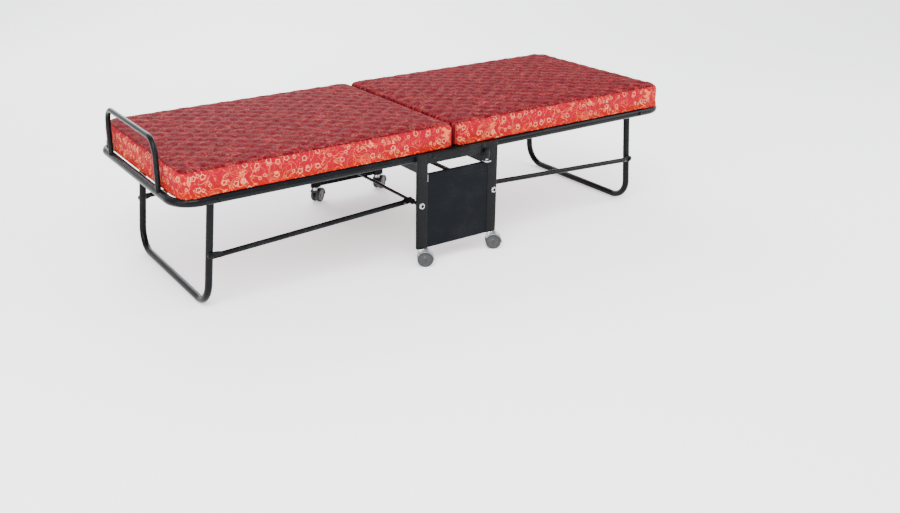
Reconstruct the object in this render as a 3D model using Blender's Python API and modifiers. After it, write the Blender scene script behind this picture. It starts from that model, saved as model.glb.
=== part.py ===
"""Folding cot: two padded tube frames that fold upward on a wheeled centre stand.

Metres, +Z up, +X towards the foot end. The rest pose is the open cot, standing on the
four casters of its stand and on two swinging legs. The origin is on the floor under the
middle of the cot. Each half is built by the same functions: `way` is -1 at the head end
and +1 at the foot end, `side` is -1 on the near side and +1 on the far side.
"""

import math

import bmesh
import bpy
from mathutils import Matrix, Vector

# ---------------------------------------------------------------- overall sizes
LENGTH = 1.830              # over the two end bars
FRAME_WIDTH = 0.668         # over the rails
RAIL_HEIGHT = 0.348         # floor to the rails' centre lines

# ---------------------------------------------------------------- half frames
RAIL_DIAMETER = 0.025
FRAME_CORNER = 0.070        # centre line radius of the outer corners
INNER_END = 0.006           # middle plane to the inner end of each frame
CROSS_BAR_DIAMETER = 0.020
CROSS_BAR_X = 0.410
GUARD_DIAMETER = 0.016
GUARD_RISE = 0.150          # top of the rails to the top of the guard
GUARD_SPACING = 0.400       # between the guard's uprights
GUARD_CORNER = 0.045

# ---------------------------------------------------------------- boards and pads
BOARD_THICKNESS = 0.009
BOARD_INSET = 0.016         # board edge inside the pad's edge
PAD_THICKNESS = 0.0656
PAD_SIDE_INSET = 0.004      # pad's side inside the rail's outer side
PAD_CORNER = 0.045
PAD_GUARD_GAP = 0.005

# ---------------------------------------------------------------- centre stand
STAND_LENGTH = 0.304        # over the posts, along X
POST_WIDTH = 0.038
POST_WALL = 0.0018
POST_ROOM = 0.0007          # stem to the inside of a post
POST_FLOOR = 0.008          # solid foot of a post, around the caster's stem
POST_OVER_RAIL = 0.0015     # top of a post above the top of the rails
SIDE_GAP = 0.001            # rail to side frame
TOP_BAR_HEIGHT = 0.0315
SLOT_HEIGHT = 0.032         # open slot between top bar and panel
PANEL_SHEET = 0.0015
PANEL_RECESS = 0.002
PANEL_BAND = 0.025          # height of the band folded over the panel's top
PANEL_HEM = 0.010           # width of the fold that stiffens the panel's top
CROSS_MEMBER_HEIGHT = 0.036
CROSS_MEMBER_THICKNESS = 0.005
CROSS_MEMBER_UNDER = 0.0395  # top of the posts to the top of the cross members
TIE_ROD_DIAMETER = 0.010
TIE_ROD_UNDER = 0.0235      # top of the panel to the tie rod's centre
ROD_DIAMETER = 0.010
ROD_OUT = 0.005             # cross rod outside the middle of its posts
NUT_FLATS = 0.016
NUT_THICKNESS = 0.006

# ---------------------------------------------------------------- fold, legs, links
PIVOT_IN = 0.021            # fold pivot inside the posts
PIVOT_RISE = 0.004          # fold pivot above the rails' centre lines
PIN_DIAMETER = 0.008
HEAD_DIAMETER = 0.016
HEAD_THICKNESS = 0.0045
LEG_FROM_END = 0.130        # leg hinge to the end of the cot
LEG_DIAMETER = 0.022
LEG_INSET = 0.0525          # rail's centre line to the upright's
LEG_CORNER = 0.070
LEG_SPLAY = math.radians(5.2)
LEG_SPLAY_FOLDED = math.radians(3.8)
LEG_GAP = 0.0015            # leg axle to rail
BOLT_BITE = 0.012           # bolt length inside the leg axle
LINK_DIAMETER = 0.016
LINK_TAB = 0.005            # thickness of the flattened ends
LINK_TAB_LENGTH = 0.034
LINK_DROP = 0.180           # leg hinge to link bolt, along the leg
LINK_GAP = 0.001            # leg upright to link
LINK_EYE = 0.011            # radius of the rounded ends
LINK_TAB_INSET = 0.0006     # tab face to the tube's side
BUSH_DIAMETER = 0.018
BUSH_LENGTH = 0.016

# ---------------------------------------------------------------- casters
WHEEL_DIAMETER = 0.050
WHEEL_WIDTH = 0.012
WHEEL_GAP = 0.010           # between the two wheels of a caster
WHEEL_AXLE_DIAMETER = 0.006
CASTER_TRAIL = 0.012
CASTER_HEADING = math.radians(32.0)     # turned outward on both sides
HOOD_CLEARANCE = 0.0015
HOOD_WALL = 0.0018
WEB_THICKNESS = 0.006
STEM_DIAMETER = 0.008
STEM_BITE = 0.020           # stem length inside the post
NECK_DIAMETER = 0.018
NECK_HEIGHT = 0.008         # top of the wheels to the foot of the post

# ---------------------------------------------------------------- lock plunger
LOCK_IN = 0.0125            # plunger inside the posts
LOCK_UNDER = 0.0005         # pivot's head to the top of the sleeve
LOCK_SLEEVE_DIAMETER = 0.016
LOCK_SLEEVE_LENGTH = 0.030
LOCK_PIN_DIAMETER = 0.008
LOCK_PIN_SHORT = 0.001      # pin's end inside the sleeve's top
LOCK_KNOB_DIAMETER = 0.028
LOCK_KNOB_THICKNESS = 0.004
LOCK_TRAVEL = 0.005

# ---------------------------------------------------------------- clearances
TOUCH = 0.0003              # between pieces that touch
RUNNING = 0.0003            # radial clearance of a pin in its hole
SWEEP = 0.0055              # pad and frame corners to the middle plane as they fold

# ---------------------------------------------------------------- derived places
RAIL_R = RAIL_DIAMETER / 2
RAIL_Y = FRAME_WIDTH / 2 - RAIL_R
RAIL_TOP = RAIL_HEIGHT + RAIL_R
POST_DEPTH = STEM_DIAMETER + 2 * (POST_WALL + POST_ROOM)
POST_BOTTOM = WHEEL_DIAMETER + NECK_HEIGHT
POST_TOP = RAIL_TOP + POST_OVER_RAIL
PANEL_TOP = POST_TOP - TOP_BAR_HEIGHT - SLOT_HEIGHT
CROSS_MEMBER_Z = POST_TOP - CROSS_MEMBER_UNDER - CROSS_MEMBER_HEIGHT / 2
TIE_ROD_Z = PANEL_TOP - TIE_ROD_UNDER
SIDE_INNER = FRAME_WIDTH / 2 + SIDE_GAP
SIDE_OUTER = SIDE_INNER + POST_DEPTH
SIDE_MIDDLE = SIDE_INNER + POST_DEPTH / 2
POST_X = STAND_LENGTH / 2 - POST_WIDTH / 2
POST_INNER = STAND_LENGTH / 2 - POST_WIDTH
ROD_X = POST_X + ROD_OUT
PIVOT_X = POST_INNER - PIVOT_IN
PIVOT_Z = RAIL_HEIGHT + PIVOT_RISE
LOCK_X = POST_INNER - LOCK_IN
LEG_X = LENGTH / 2 - LEG_FROM_END
LEG_SPACING = 2 * (RAIL_Y - LEG_INSET)
PAD_WIDTH = FRAME_WIDTH - 2 * PAD_SIDE_INSET
GUARD_HEIGHT = RAIL_TOP + GUARD_RISE
GUARD_X = LENGTH / 2 - GUARD_DIAMETER / 2
PAD_END = GUARD_X - GUARD_DIAMETER / 2 - PAD_GUARD_GAP
BOARD_BOTTOM = RAIL_TOP + 2 * TOUCH
PAD_BOTTOM = BOARD_BOTTOM + BOARD_THICKNESS + TOUCH
PAD_TOP = PAD_BOTTOM + PAD_THICKNESS
FOLD_RADIUS = PIVOT_X - SWEEP
LINK_Y = LEG_SPACING / 2 + LEG_DIAMETER / 2 + LINK_GAP + LINK_DIAMETER / 2
CROSS_MEMBER_X = POST_INNER + TOUCH + CROSS_MEMBER_THICKNESS / 2

COLOURS = {
    "black_enamel": ((0.012, 0.013, 0.015), 0.32, 0.0),
    "black_sheet": ((0.016, 0.017, 0.020), 0.45, 0.0),
    "bright_steel": ((0.62, 0.62, 0.63), 0.22, 1.0),
    "grey_rubber": ((0.10, 0.10, 0.11), 0.55, 0.0),
    "dark_plastic": ((0.02, 0.02, 0.022), 0.40, 0.0),
    "plywood": ((0.52, 0.36, 0.20), 0.65, 0.0),
    "red_cloth": ((0.48, 0.02, 0.04), 0.70, 0.0),
}

parts = None
cutters = None


# ================================================================ modelling tools
def clear_scene():
    """Remove everything, then make the two collections."""
    global parts, cutters
    for item in list(bpy.data.objects):
        bpy.data.objects.remove(item, do_unlink=True)
    parts = bpy.data.collections.new("folding_cot")
    cutters = bpy.data.collections.new("cutters")
    for collection in (parts, cutters):
        bpy.context.scene.collection.children.link(collection)


def material(name):
    """The material of that name, made on first use."""
    found = bpy.data.materials.get(name)
    if found:
        return found
    colour, roughness, metallic = COLOURS[name]
    made = bpy.data.materials.new(name)
    made.use_nodes = True
    shader = made.node_tree.nodes["Principled BSDF"]
    shader.inputs["Base Color"].default_value = (*colour, 1.0)
    shader.inputs["Roughness"].default_value = roughness
    shader.inputs["Metallic"].default_value = metallic
    made.diffuse_color = (*colour, 1.0)
    return made


def add(name, data, finish, axis=None):
    """Put data into the scene as a named part, under the empty on its joint's axis."""
    item = bpy.data.objects.new(name, data)
    parts.objects.link(item)
    data.materials.append(material(finish))
    if axis:
        item.parent = axis
        item.location = -axis.location
    return item


def as_cutter(item):
    """Turn a part into a cutter."""
    parts.objects.unlink(item)
    cutters.objects.link(item)
    item.hide_render = True
    item.display_type = "WIRE"
    return item


def joint_axis(name, place):
    """An empty on a joint's axis, which carries the pieces that turn on it."""
    empty = bpy.data.objects.new(name, None)
    empty.empty_display_size = 0.03
    empty.location = place
    parts.objects.link(empty)
    return empty


def smooth(mesh):
    """Smooth shading with sharp edges kept."""
    mesh.shade_smooth()
    mesh.set_sharp_from_angle(angle=math.radians(35))


def box(name, low, high, finish, axis=None, rounding=0.0):
    """A box between two corners, with rounded edges if rounding is set."""
    low, high = Vector(low), Vector(high)
    builder = bmesh.new()
    bmesh.ops.create_cube(builder, size=1.0)
    place = Matrix.Translation((low + high) / 2) @ Matrix.Diagonal((*(high - low), 1.0))
    bmesh.ops.transform(builder, matrix=place, verts=builder.verts)
    mesh = bpy.data.meshes.new(name)
    builder.to_mesh(mesh)
    builder.free()
    item = add(name, mesh, finish, axis)
    if rounding:
        edge = item.modifiers.new("rounding", "BEVEL")
        edge.width = rounding
        edge.segments = 2
        edge.limit_method = "ANGLE"
    return item


def rod(name, start, end, radius, finish, axis=None, sides=16):
    """A round bar between two points."""
    start, end = Vector(start), Vector(end)
    run = end - start
    builder = bmesh.new()
    bmesh.ops.create_cone(builder, cap_ends=True, segments=sides, radius1=radius,
                          radius2=radius, depth=run.length)
    turn = run.to_track_quat("Z", "Y").to_matrix().to_4x4()
    bmesh.ops.transform(builder, matrix=Matrix.Translation((start + end) / 2) @ turn,
                        verts=builder.verts)
    mesh = bpy.data.meshes.new(name)
    builder.to_mesh(mesh)
    builder.free()
    smooth(mesh)
    return add(name, mesh, finish, axis)


def turned(name, profile, place, turn, finish, axis=None, steps=16):
    """A turned solid: profile is a list of (radius, height), from its top down to its foot."""
    mesh = bpy.data.meshes.new(name)
    mesh.from_pydata([(radius, 0.0, height) for radius, height in profile],
                     [(i, i + 1) for i in range(len(profile) - 1)], [])
    item = add(name, mesh, finish)
    item.rotation_euler = turn
    item.location = Vector(place)
    if axis:
        item.parent = axis
        item.location -= axis.location
    screw = item.modifiers.new("turning", "SCREW")
    screw.steps = steps
    screw.render_steps = steps
    screw.use_merge_vertices = True
    screw.merge_threshold = 0.00005
    screw.use_smooth_shade = False
    return item


def rounded_path(corners, radius, pieces=7):
    """The points of a path through corners, each inner corner turned at a radius."""
    corners = [Vector(corner) for corner in corners]
    points = [corners[0]]
    for before, corner, after in zip(corners, corners[1:], corners[2:]):
        back = (before - corner).normalized()
        on = (after - corner).normalized()
        half = back.angle(on) / 2
        reach = radius / math.tan(half)
        centre = corner + (back + on).normalized() * radius / math.sin(half)
        first = corner + back * reach - centre
        last = corner + on * reach - centre
        sweep = first.angle(last)
        for step in range(pieces + 1):
            share = step / pieces
            points.append(centre + (first * math.sin((1 - share) * sweep)
                                    + last * math.sin(share * sweep)) / math.sin(sweep))
    return points + [corners[-1]]


def tube(name, points, radius, finish, axis=None, sides_step=4):
    """A round tube along points, with flat ends."""
    curve = bpy.data.curves.new(name, "CURVE")
    curve.dimensions = "3D"
    curve.bevel_depth = radius
    curve.bevel_resolution = sides_step
    curve.use_fill_caps = True
    line = curve.splines.new("POLY")
    line.points.add(len(points) - 1)
    for slot, point in zip(line.points, points):
        slot.co = (*point, 1.0)
    return add(name, curve, finish, axis)


def as_mesh(item):
    """Change a curve part into a mesh part with welded caps, so that it can be cut."""
    bpy.context.view_layer.update()
    evaluated = item.evaluated_get(bpy.context.evaluated_depsgraph_get())
    mesh = bpy.data.meshes.new_from_object(evaluated)
    builder = bmesh.new()
    builder.from_mesh(mesh)
    bmesh.ops.remove_doubles(builder, verts=builder.verts, dist=0.00001)
    builder.to_mesh(mesh)
    builder.free()
    name, matrix, axis = item.name, item.matrix_world.copy(), item.parent
    bpy.data.objects.remove(item, do_unlink=True)
    made = bpy.data.objects.new(name, mesh)
    parts.objects.link(made)
    made.parent = axis
    made.matrix_world = matrix
    return made


def outline(name, points, thickness, matrix, finish, axis=None):
    """A flat outline in XY, thickness deep and centred on its plane, placed by a matrix."""
    curve = bpy.data.curves.new(name, "CURVE")
    curve.dimensions = "2D"
    curve.fill_mode = "BOTH"
    curve.extrude = thickness / 2
    line = curve.splines.new("POLY")
    line.points.add(len(points) - 1)
    for slot, (x, y) in zip(line.points, points):
        slot.co = (x, y, 0.0, 1.0)
    line.use_cyclic_u = True
    item = add(name, curve, finish)
    item.matrix_world = matrix
    made = as_mesh(item)
    if axis:
        made.parent = axis
        made.location -= axis.location
    return made


def combine(item, other, operation):
    """Join or cut a part with another, which becomes a cutter."""
    as_cutter(other)
    step = item.modifiers.new(other.name, "BOOLEAN")
    step.operation = operation
    step.solver = "EXACT"
    step.object = other
    return item


def drill(item, start, end, radius):
    """A round hole through a part between two points."""
    name = f"{item.name}_hole_{len(item.modifiers)}"
    return combine(item, rod(name, start, end, radius, "bright_steel"), "DIFFERENCE")


def arc(centre, radius, start, end, pieces):
    """Points of an arc between two angles."""
    return [(centre[0] + radius * math.cos(start + (end - start) * i / pieces),
             centre[1] + radius * math.sin(start + (end - start) * i / pieces))
            for i in range(pieces + 1)]


def facing_y(place):
    """Turn an XY outline up into the XZ plane at a place."""
    return Matrix.Translation(place) @ Matrix.Rotation(math.radians(90), 4, "X")


# ================================================================ linkage
def fold(point):
    """Where a point (x, z) of the foot half comes to when it is folded up."""
    return (PIVOT_X - (point[1] - PIVOT_Z), PIVOT_Z + (point[0] - PIVOT_X))


def link_bolt():
    """The place (x, z) of the link's bolt on the leg, open."""
    return (LEG_X + LINK_DROP * math.sin(LEG_SPLAY),
            RAIL_HEIGHT - LINK_DROP * math.cos(LEG_SPLAY))


def rod_height():
    """The cross rod's height, at which a link is as long open as it is folded."""
    hinge = fold((LEG_X, RAIL_HEIGHT))
    folded = (hinge[0] + LINK_DROP * math.sin(LEG_SPLAY_FOLDED),
              hinge[1] - LINK_DROP * math.cos(LEG_SPLAY_FOLDED))
    opened = link_bolt()
    reach = (opened[0] - ROD_X) ** 2 - (folded[0] - ROD_X) ** 2
    rise = folded[1] ** 2 - opened[1] ** 2
    return (rise - reach) / (2 * (folded[1] - opened[1]))


ROD_Z = rod_height()


# ================================================================ centre stand
def side_name(side):
    return "near" if side < 0 else "far"


def end_name(way):
    return "head" if way < 0 else "foot"


def build_post(way, side):
    """A closed rectangular tube with a solid foot for the caster's stem."""
    name = f"post_{side_name(side)}_{end_name(way)}"
    x, y = way * POST_X, side * SIDE_MIDDLE
    half_x, half_y = POST_WIDTH / 2, POST_DEPTH / 2
    post = box(name, (x - half_x, y - half_y, POST_BOTTOM), (x + half_x, y + half_y, POST_TOP),
               "black_enamel", rounding=0.0012)
    inside_x, inside_y = half_x - POST_WALL, half_y - POST_WALL
    hollow = box(f"{name}_hollow", (x - inside_x, y - inside_y, POST_BOTTOM + POST_FLOOR),
                 (x + inside_x, y + inside_y, POST_TOP - POST_WALL), "black_enamel")
    combine(post, hollow, "DIFFERENCE")
    drill(post, (x, y, POST_BOTTOM - 0.005), (x, y, POST_BOTTOM + POST_FLOOR + 0.005),
          STEM_DIAMETER / 2 + RUNNING)
    drill(post, (way * ROD_X, y - POST_DEPTH, ROD_Z), (way * ROD_X, y + POST_DEPTH, ROD_Z),
          ROD_DIAMETER / 2 + RUNNING)


def build_side_frame(side):
    """Posts, top bar and panel of one side, with the open slot between bar and panel."""
    for way in (-1, 1):
        build_post(way, side)
    reach = POST_INNER - TOUCH
    near, far = sorted((side * SIDE_INNER, side * SIDE_OUTER))
    bar = box(f"top_bar_{side_name(side)}", (-reach, near, POST_TOP - TOP_BAR_HEIGHT),
              (reach, far, POST_TOP), "black_enamel")
    hollow = box(f"top_bar_hollow_{side_name(side)}",
                 (-reach - 0.01, near + POST_WALL, POST_TOP - TOP_BAR_HEIGHT + POST_WALL),
                 (reach + 0.01, far - POST_WALL, POST_TOP - POST_WALL), "black_enamel")
    combine(bar, hollow, "DIFFERENCE")
    for way in (-1, 1):
        drill(bar, (way * PIVOT_X, near - 0.01, PIVOT_Z), (way * PIVOT_X, far + 0.01, PIVOT_Z),
              PIN_DIAMETER / 2 + RUNNING)
    section = [(-PANEL_SHEET, POST_BOTTOM), (0, POST_BOTTOM), (0, PANEL_TOP - PANEL_BAND),
               (PANEL_RECESS, PANEL_TOP - PANEL_BAND), (PANEL_RECESS, PANEL_TOP),
               (-PANEL_HEM, PANEL_TOP), (-PANEL_HEM, PANEL_TOP - PANEL_SHEET),
               (-PANEL_SHEET, PANEL_TOP - PANEL_SHEET)]
    across = Matrix(((0, 0, side), (side, 0, 0), (0, 1, 0))).to_4x4()
    place = Matrix.Translation((0, side * (SIDE_OUTER - PANEL_RECESS), 0)) @ across
    outline(f"panel_{side_name(side)}", section, 2 * reach, place, "black_sheet")


def build_cross_parts():
    """Cross members, cross rods with their nuts, and the tie rod between the two sides."""
    span = SIDE_INNER - TOUCH
    for way in (-1, 1):
        low, high = sorted((way * (CROSS_MEMBER_X - CROSS_MEMBER_THICKNESS / 2),
                            way * (CROSS_MEMBER_X + CROSS_MEMBER_THICKNESS / 2)))
        box(f"cross_member_{end_name(way)}",
            (low, -span, CROSS_MEMBER_Z - CROSS_MEMBER_HEIGHT / 2),
            (high, span, CROSS_MEMBER_Z + CROSS_MEMBER_HEIGHT / 2), "black_enamel",
            rounding=0.0008)
        tip = SIDE_OUTER + NUT_THICKNESS + 0.0015
        rod(f"cross_rod_{end_name(way)}", (way * ROD_X, -tip, ROD_Z), (way * ROD_X, tip, ROD_Z),
            ROD_DIAMETER / 2, "black_enamel")
        for side in (-1, 1):
            face = side * (SIDE_OUTER + TOUCH)
            back = face + side * NUT_THICKNESS
            nut = rod(f"rod_nut_{side_name(side)}_{end_name(way)}", (way * ROD_X, face, ROD_Z),
                      (way * ROD_X, back, ROD_Z), NUT_FLATS / math.sqrt(3), "bright_steel", sides=6)
            drill(nut, (way * ROD_X, face - side * 0.01, ROD_Z),
                  (way * ROD_X, back + side * 0.01, ROD_Z), ROD_DIAMETER / 2 + RUNNING)
    end = SIDE_OUTER - PANEL_RECESS - PANEL_SHEET - TOUCH
    rod("tie_rod", (0, -end, TIE_ROD_Z), (0, end, TIE_ROD_Z), TIE_ROD_DIAMETER / 2, "black_enamel")


def build_pivot_pin(way, side):
    """The headed pin on which one rail turns in its top bar."""
    tail = RAIL_Y - RAIL_R - TOUCH
    head = SIDE_OUTER + TOUCH
    pin, cap = PIN_DIAMETER / 2, HEAD_DIAMETER / 2
    profile = [(0, head + HEAD_THICKNESS), (cap * 0.7, head + HEAD_THICKNESS),
               (cap, head + HEAD_THICKNESS * 0.4), (cap, head), (pin, head), (pin, tail),
               (cap, tail), (cap, tail - HEAD_THICKNESS * 0.5), (0, tail - HEAD_THICKNESS * 0.5)]
    turned(f"pivot_pin_{side_name(side)}_{end_name(way)}", profile,
           (way * PIVOT_X, 0, PIVOT_Z), (-side * math.radians(90), 0, 0), "black_enamel")


def build_lock():
    """Spring lock outside the near bar: a fixed sleeve and the plunger pulled down by its knob."""
    y = -(SIDE_OUTER + TOUCH + LOCK_SLEEVE_DIAMETER / 2)
    top = PIVOT_Z - HEAD_DIAMETER / 2 - LOCK_UNDER
    foot = top - LOCK_SLEEVE_LENGTH
    sleeve = rod("lock_sleeve", (LOCK_X, y, foot), (LOCK_X, y, top), LOCK_SLEEVE_DIAMETER / 2,
                 "black_enamel")
    drill(sleeve, (LOCK_X, y, foot - 0.01), (LOCK_X, y, top + 0.01),
          LOCK_PIN_DIAMETER / 2 + RUNNING)
    axis = joint_axis("lock_slide_axis", (LOCK_X, y, foot))
    pin, knob = LOCK_PIN_DIAMETER / 2, LOCK_KNOB_DIAMETER / 2
    pin_top = LOCK_SLEEVE_LENGTH - LOCK_PIN_SHORT
    knob_top = -LOCK_TRAVEL
    profile = [(0, pin_top), (pin, pin_top), (pin, knob_top), (knob * 0.7, knob_top),
               (knob, knob_top - LOCK_KNOB_THICKNESS * 0.5),
               (knob, knob_top - LOCK_KNOB_THICKNESS), (0, knob_top - LOCK_KNOB_THICKNESS)]
    turned("lock_plunger", profile, (LOCK_X, y, foot), (0, 0, 0), "bright_steel", axis)


# ================================================================ casters
def build_caster(way, side):
    """Twin-wheel caster: stem, neck, web and hood in one body, and the pair of wheels."""
    label = f"{side_name(side)}_{end_name(way)}"
    stem = Vector((way * POST_X, side * SIDE_MIDDLE, 0))
    heading = side * CASTER_HEADING
    ahead = Vector((math.cos(heading), math.sin(heading), 0))
    hub = stem + ahead * CASTER_TRAIL + Vector((0, 0, WHEEL_DIAMETER / 2))
    swivel = joint_axis(f"caster_{label}_swivel_axis", stem)
    spin = joint_axis(f"caster_{label}_spin_axis", hub)
    wheel_r = WHEEL_DIAMETER / 2
    across = Matrix.Translation(hub) @ Matrix.Rotation(heading, 4, "Z") \
        @ Matrix.Rotation(math.radians(90), 4, "X")

    shell_in = wheel_r + HOOD_CLEARANCE
    shell_out = shell_in + HOOD_WALL
    start, end = math.radians(-8), math.radians(150)
    band = arc((0, 0), shell_out, start, end, 10) + arc((0, 0), shell_in, end, start, 10)
    half_width = WHEEL_GAP / 2 + WHEEL_WIDTH + 0.001
    body = outline(f"caster_{label}_body", band, 2 * half_width, across, "dark_plastic", swivel)
    web_outline = arc((0, 0), shell_in + HOOD_WALL / 2, start, end, 10) \
        + arc((0, 0), WHEEL_AXLE_DIAMETER * 1.3, math.radians(190), math.radians(320), 5)
    combine(body, outline(f"caster_{label}_web", web_outline, WEB_THICKNESS, across,
                          "dark_plastic"), "UNION")
    neck_top = POST_BOTTOM - TOUCH
    hood_height = math.sqrt(shell_in ** 2 - CASTER_TRAIL ** 2) + wheel_r
    combine(body, rod(f"caster_{label}_neck", stem + Vector((0, 0, hood_height - 0.004)),
                      stem + Vector((0, 0, neck_top)), NECK_DIAMETER / 2, "dark_plastic"), "UNION")
    combine(body, rod(f"caster_{label}_stem", stem + Vector((0, 0, hood_height - 0.002)),
                      stem + Vector((0, 0, neck_top + STEM_BITE)), STEM_DIAMETER / 2,
                      "dark_plastic"), "UNION")
    side_way = across.to_3x3() @ Vector((0, 0, 1))
    drill(body, hub - side_way * 0.02, hub + side_way * 0.02, WHEEL_AXLE_DIAMETER / 2 + RUNNING)
    room = rod(f"caster_{label}_wheel_room", hub - side_way * (half_width + 0.01),
               hub + side_way * (half_width + 0.01), wheel_r + 0.001, "dark_plastic", sides=32)
    keep = rod(f"caster_{label}_web_room", hub - side_way * (WEB_THICKNESS / 2),
               hub + side_way * (WEB_THICKNESS / 2), wheel_r + 0.003, "dark_plastic", sides=32)
    combine(room, keep, "DIFFERENCE")
    combine(body, room, "DIFFERENCE")

    axle = WHEEL_AXLE_DIAMETER / 2
    inner = WHEEL_GAP / 2
    outer = inner + WHEEL_WIDTH
    edge = 0.002
    upper = [(0, outer), (wheel_r * 0.72, outer), (wheel_r * 0.76, outer - edge / 2),
             (wheel_r - edge, outer - edge / 2), (wheel_r, outer - edge * 1.5),
             (wheel_r, inner + edge), (wheel_r - edge, inner), (axle, inner)]
    lower = [(radius, -height) for radius, height in reversed(upper)]
    turned(f"caster_{label}_wheels", upper + lower, hub,
           (math.radians(90), 0, heading), "grey_rubber", spin, steps=24)


# ================================================================ half frames
def build_half_frame(way, axis):
    """U tube, inner end tube and cross bar of one half."""
    label = end_name(way)
    end_x = way * (LENGTH / 2 - RAIL_R)
    inner_x = way * INNER_END
    corners = [(inner_x, -RAIL_Y, RAIL_HEIGHT), (end_x, -RAIL_Y, RAIL_HEIGHT),
               (end_x, RAIL_Y, RAIL_HEIGHT), (inner_x, RAIL_Y, RAIL_HEIGHT)]
    rail = as_mesh(tube(f"{label}_frame_tube", rounded_path(corners, FRAME_CORNER), RAIL_R,
                        "black_enamel", axis))
    for side in (-1, 1):
        for x, z in ((way * PIVOT_X, PIVOT_Z), (way * LEG_X, RAIL_HEIGHT)):
            drill(rail, (x, side * (RAIL_Y - 0.02), z), (x, side * (RAIL_Y + 0.02), z),
                  PIN_DIAMETER / 2 + RUNNING)
    reach = RAIL_Y - RAIL_R - TOUCH
    inner_bar_x = way * (INNER_END + RAIL_R)
    rod(f"{label}_inner_tube", (inner_bar_x, -reach, RAIL_HEIGHT),
        (inner_bar_x, reach, RAIL_HEIGHT), RAIL_R, "black_enamel", axis)
    bar_z = RAIL_TOP - CROSS_BAR_DIAMETER / 2
    rod(f"{label}_cross_bar", (way * CROSS_BAR_X, -reach, bar_z),
        (way * CROSS_BAR_X, reach, bar_z), CROSS_BAR_DIAMETER / 2, "black_enamel", axis)


def build_guard(way, axis):
    """The low rail that stands on the head end bar."""
    x = way * GUARD_X
    y = GUARD_SPACING / 2
    foot = RAIL_TOP + TOUCH
    top = GUARD_HEIGHT - GUARD_DIAMETER / 2
    corners = [(x, -y, foot), (x, -y, top), (x, y, top), (x, y, foot)]
    tube(f"{end_name(way)}_guard", rounded_path(corners, GUARD_CORNER), GUARD_DIAMETER / 2,
         "black_enamel", axis)


def plan_outline(way, inner, outer, width, radius):
    """Outline of a board or pad from above, square at the inner end and rounded at the outer."""
    half = width / 2
    points = [(inner, -half)]
    points += arc((outer - radius, -half + radius), radius, math.radians(-90), 0, 5)
    points += arc((outer - radius, half - radius), radius, 0, math.radians(90), 5)
    points += [(inner, half)]
    return [(way * x, y) for x, y in points][::way]


def build_bedding(way, axis):
    """Plywood board and mattress. The pad's inner top edge is round, so that it can fold."""
    label = end_name(way)
    board_z = BOARD_BOTTOM + BOARD_THICKNESS / 2
    board = plan_outline(way, INNER_END + BOARD_INSET / 2, PAD_END - BOARD_INSET,
                         PAD_WIDTH - 2 * BOARD_INSET, PAD_CORNER - BOARD_INSET)
    outline(f"{label}_board", board, BOARD_THICKNESS, Matrix.Translation((0, 0, board_z)),
            "plywood", axis)
    thickness = PAD_TOP - PAD_BOTTOM
    pad = outline(f"{label}_mattress", plan_outline(way, INNER_END, PAD_END, PAD_WIDTH, PAD_CORNER),
                  thickness, Matrix.Translation((0, 0, PAD_BOTTOM + thickness / 2)),
                  "red_cloth", axis)
    above = PAD_TOP + 0.02
    beyond = PIVOT_X - FOLD_RADIUS - 0.02
    rim = arc((PIVOT_X, PIVOT_Z), FOLD_RADIUS, math.radians(180), math.radians(90), 12)
    rim += [(PIVOT_X, above + FOLD_RADIUS), (beyond, above + FOLD_RADIUS), (beyond, PIVOT_Z)]
    rim = [(way * x, z) for x, z in rim]
    combine(pad, outline(f"{label}_mattress_rim", rim, PAD_WIDTH + 0.04, facing_y((0, 0, 0)),
                         "red_cloth"), "DIFFERENCE")


# ================================================================ legs and links
def build_leg(way, axis):
    """U-bent leg, the axle that it hangs from, and the two bolts in the rails."""
    label = end_name(way)
    floor_drop = (RAIL_HEIGHT - LEG_DIAMETER / 2) / math.cos(LEG_SPLAY)

    def down(distance, y):
        return (way * (LEG_X + distance * math.sin(LEG_SPLAY)), y,
                RAIL_HEIGHT - distance * math.cos(LEG_SPLAY))

    y = LEG_SPACING / 2
    start = LEG_DIAMETER / 2 + 2 * TOUCH
    corners = [down(start, -y), down(floor_drop, -y), down(floor_drop, y), down(start, y)]
    tube(f"{label}_leg_tube", rounded_path(corners, LEG_CORNER), LEG_DIAMETER / 2,
         "black_enamel", axis)
    reach = RAIL_Y - RAIL_R - LEG_GAP
    hinge_x = way * LEG_X
    axle = rod(f"{label}_leg_axle", (hinge_x, -reach, RAIL_HEIGHT), (hinge_x, reach, RAIL_HEIGHT),
               LEG_DIAMETER / 2, "black_enamel", axis)
    for side in (-1, 1):
        drill(axle, (hinge_x, side * (reach + 0.005), RAIL_HEIGHT),
              (hinge_x, side * (reach - BOLT_BITE - 0.002), RAIL_HEIGHT),
              PIN_DIAMETER / 2 + RUNNING)
        head = FRAME_WIDTH / 2 + TOUCH
        pin, cap = PIN_DIAMETER / 2, HEAD_DIAMETER / 2
        profile = [(0, head + HEAD_THICKNESS), (cap * 0.7, head + HEAD_THICKNESS),
                   (cap, head + HEAD_THICKNESS * 0.4), (cap, head), (pin, head),
                   (pin, reach - BOLT_BITE), (0, reach - BOLT_BITE)]
        turned(f"{label}_leg_bolt_{side_name(side)}", profile, (hinge_x, 0, RAIL_HEIGHT),
               (-side * math.radians(90), 0, 0), "black_enamel", axis)


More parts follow.
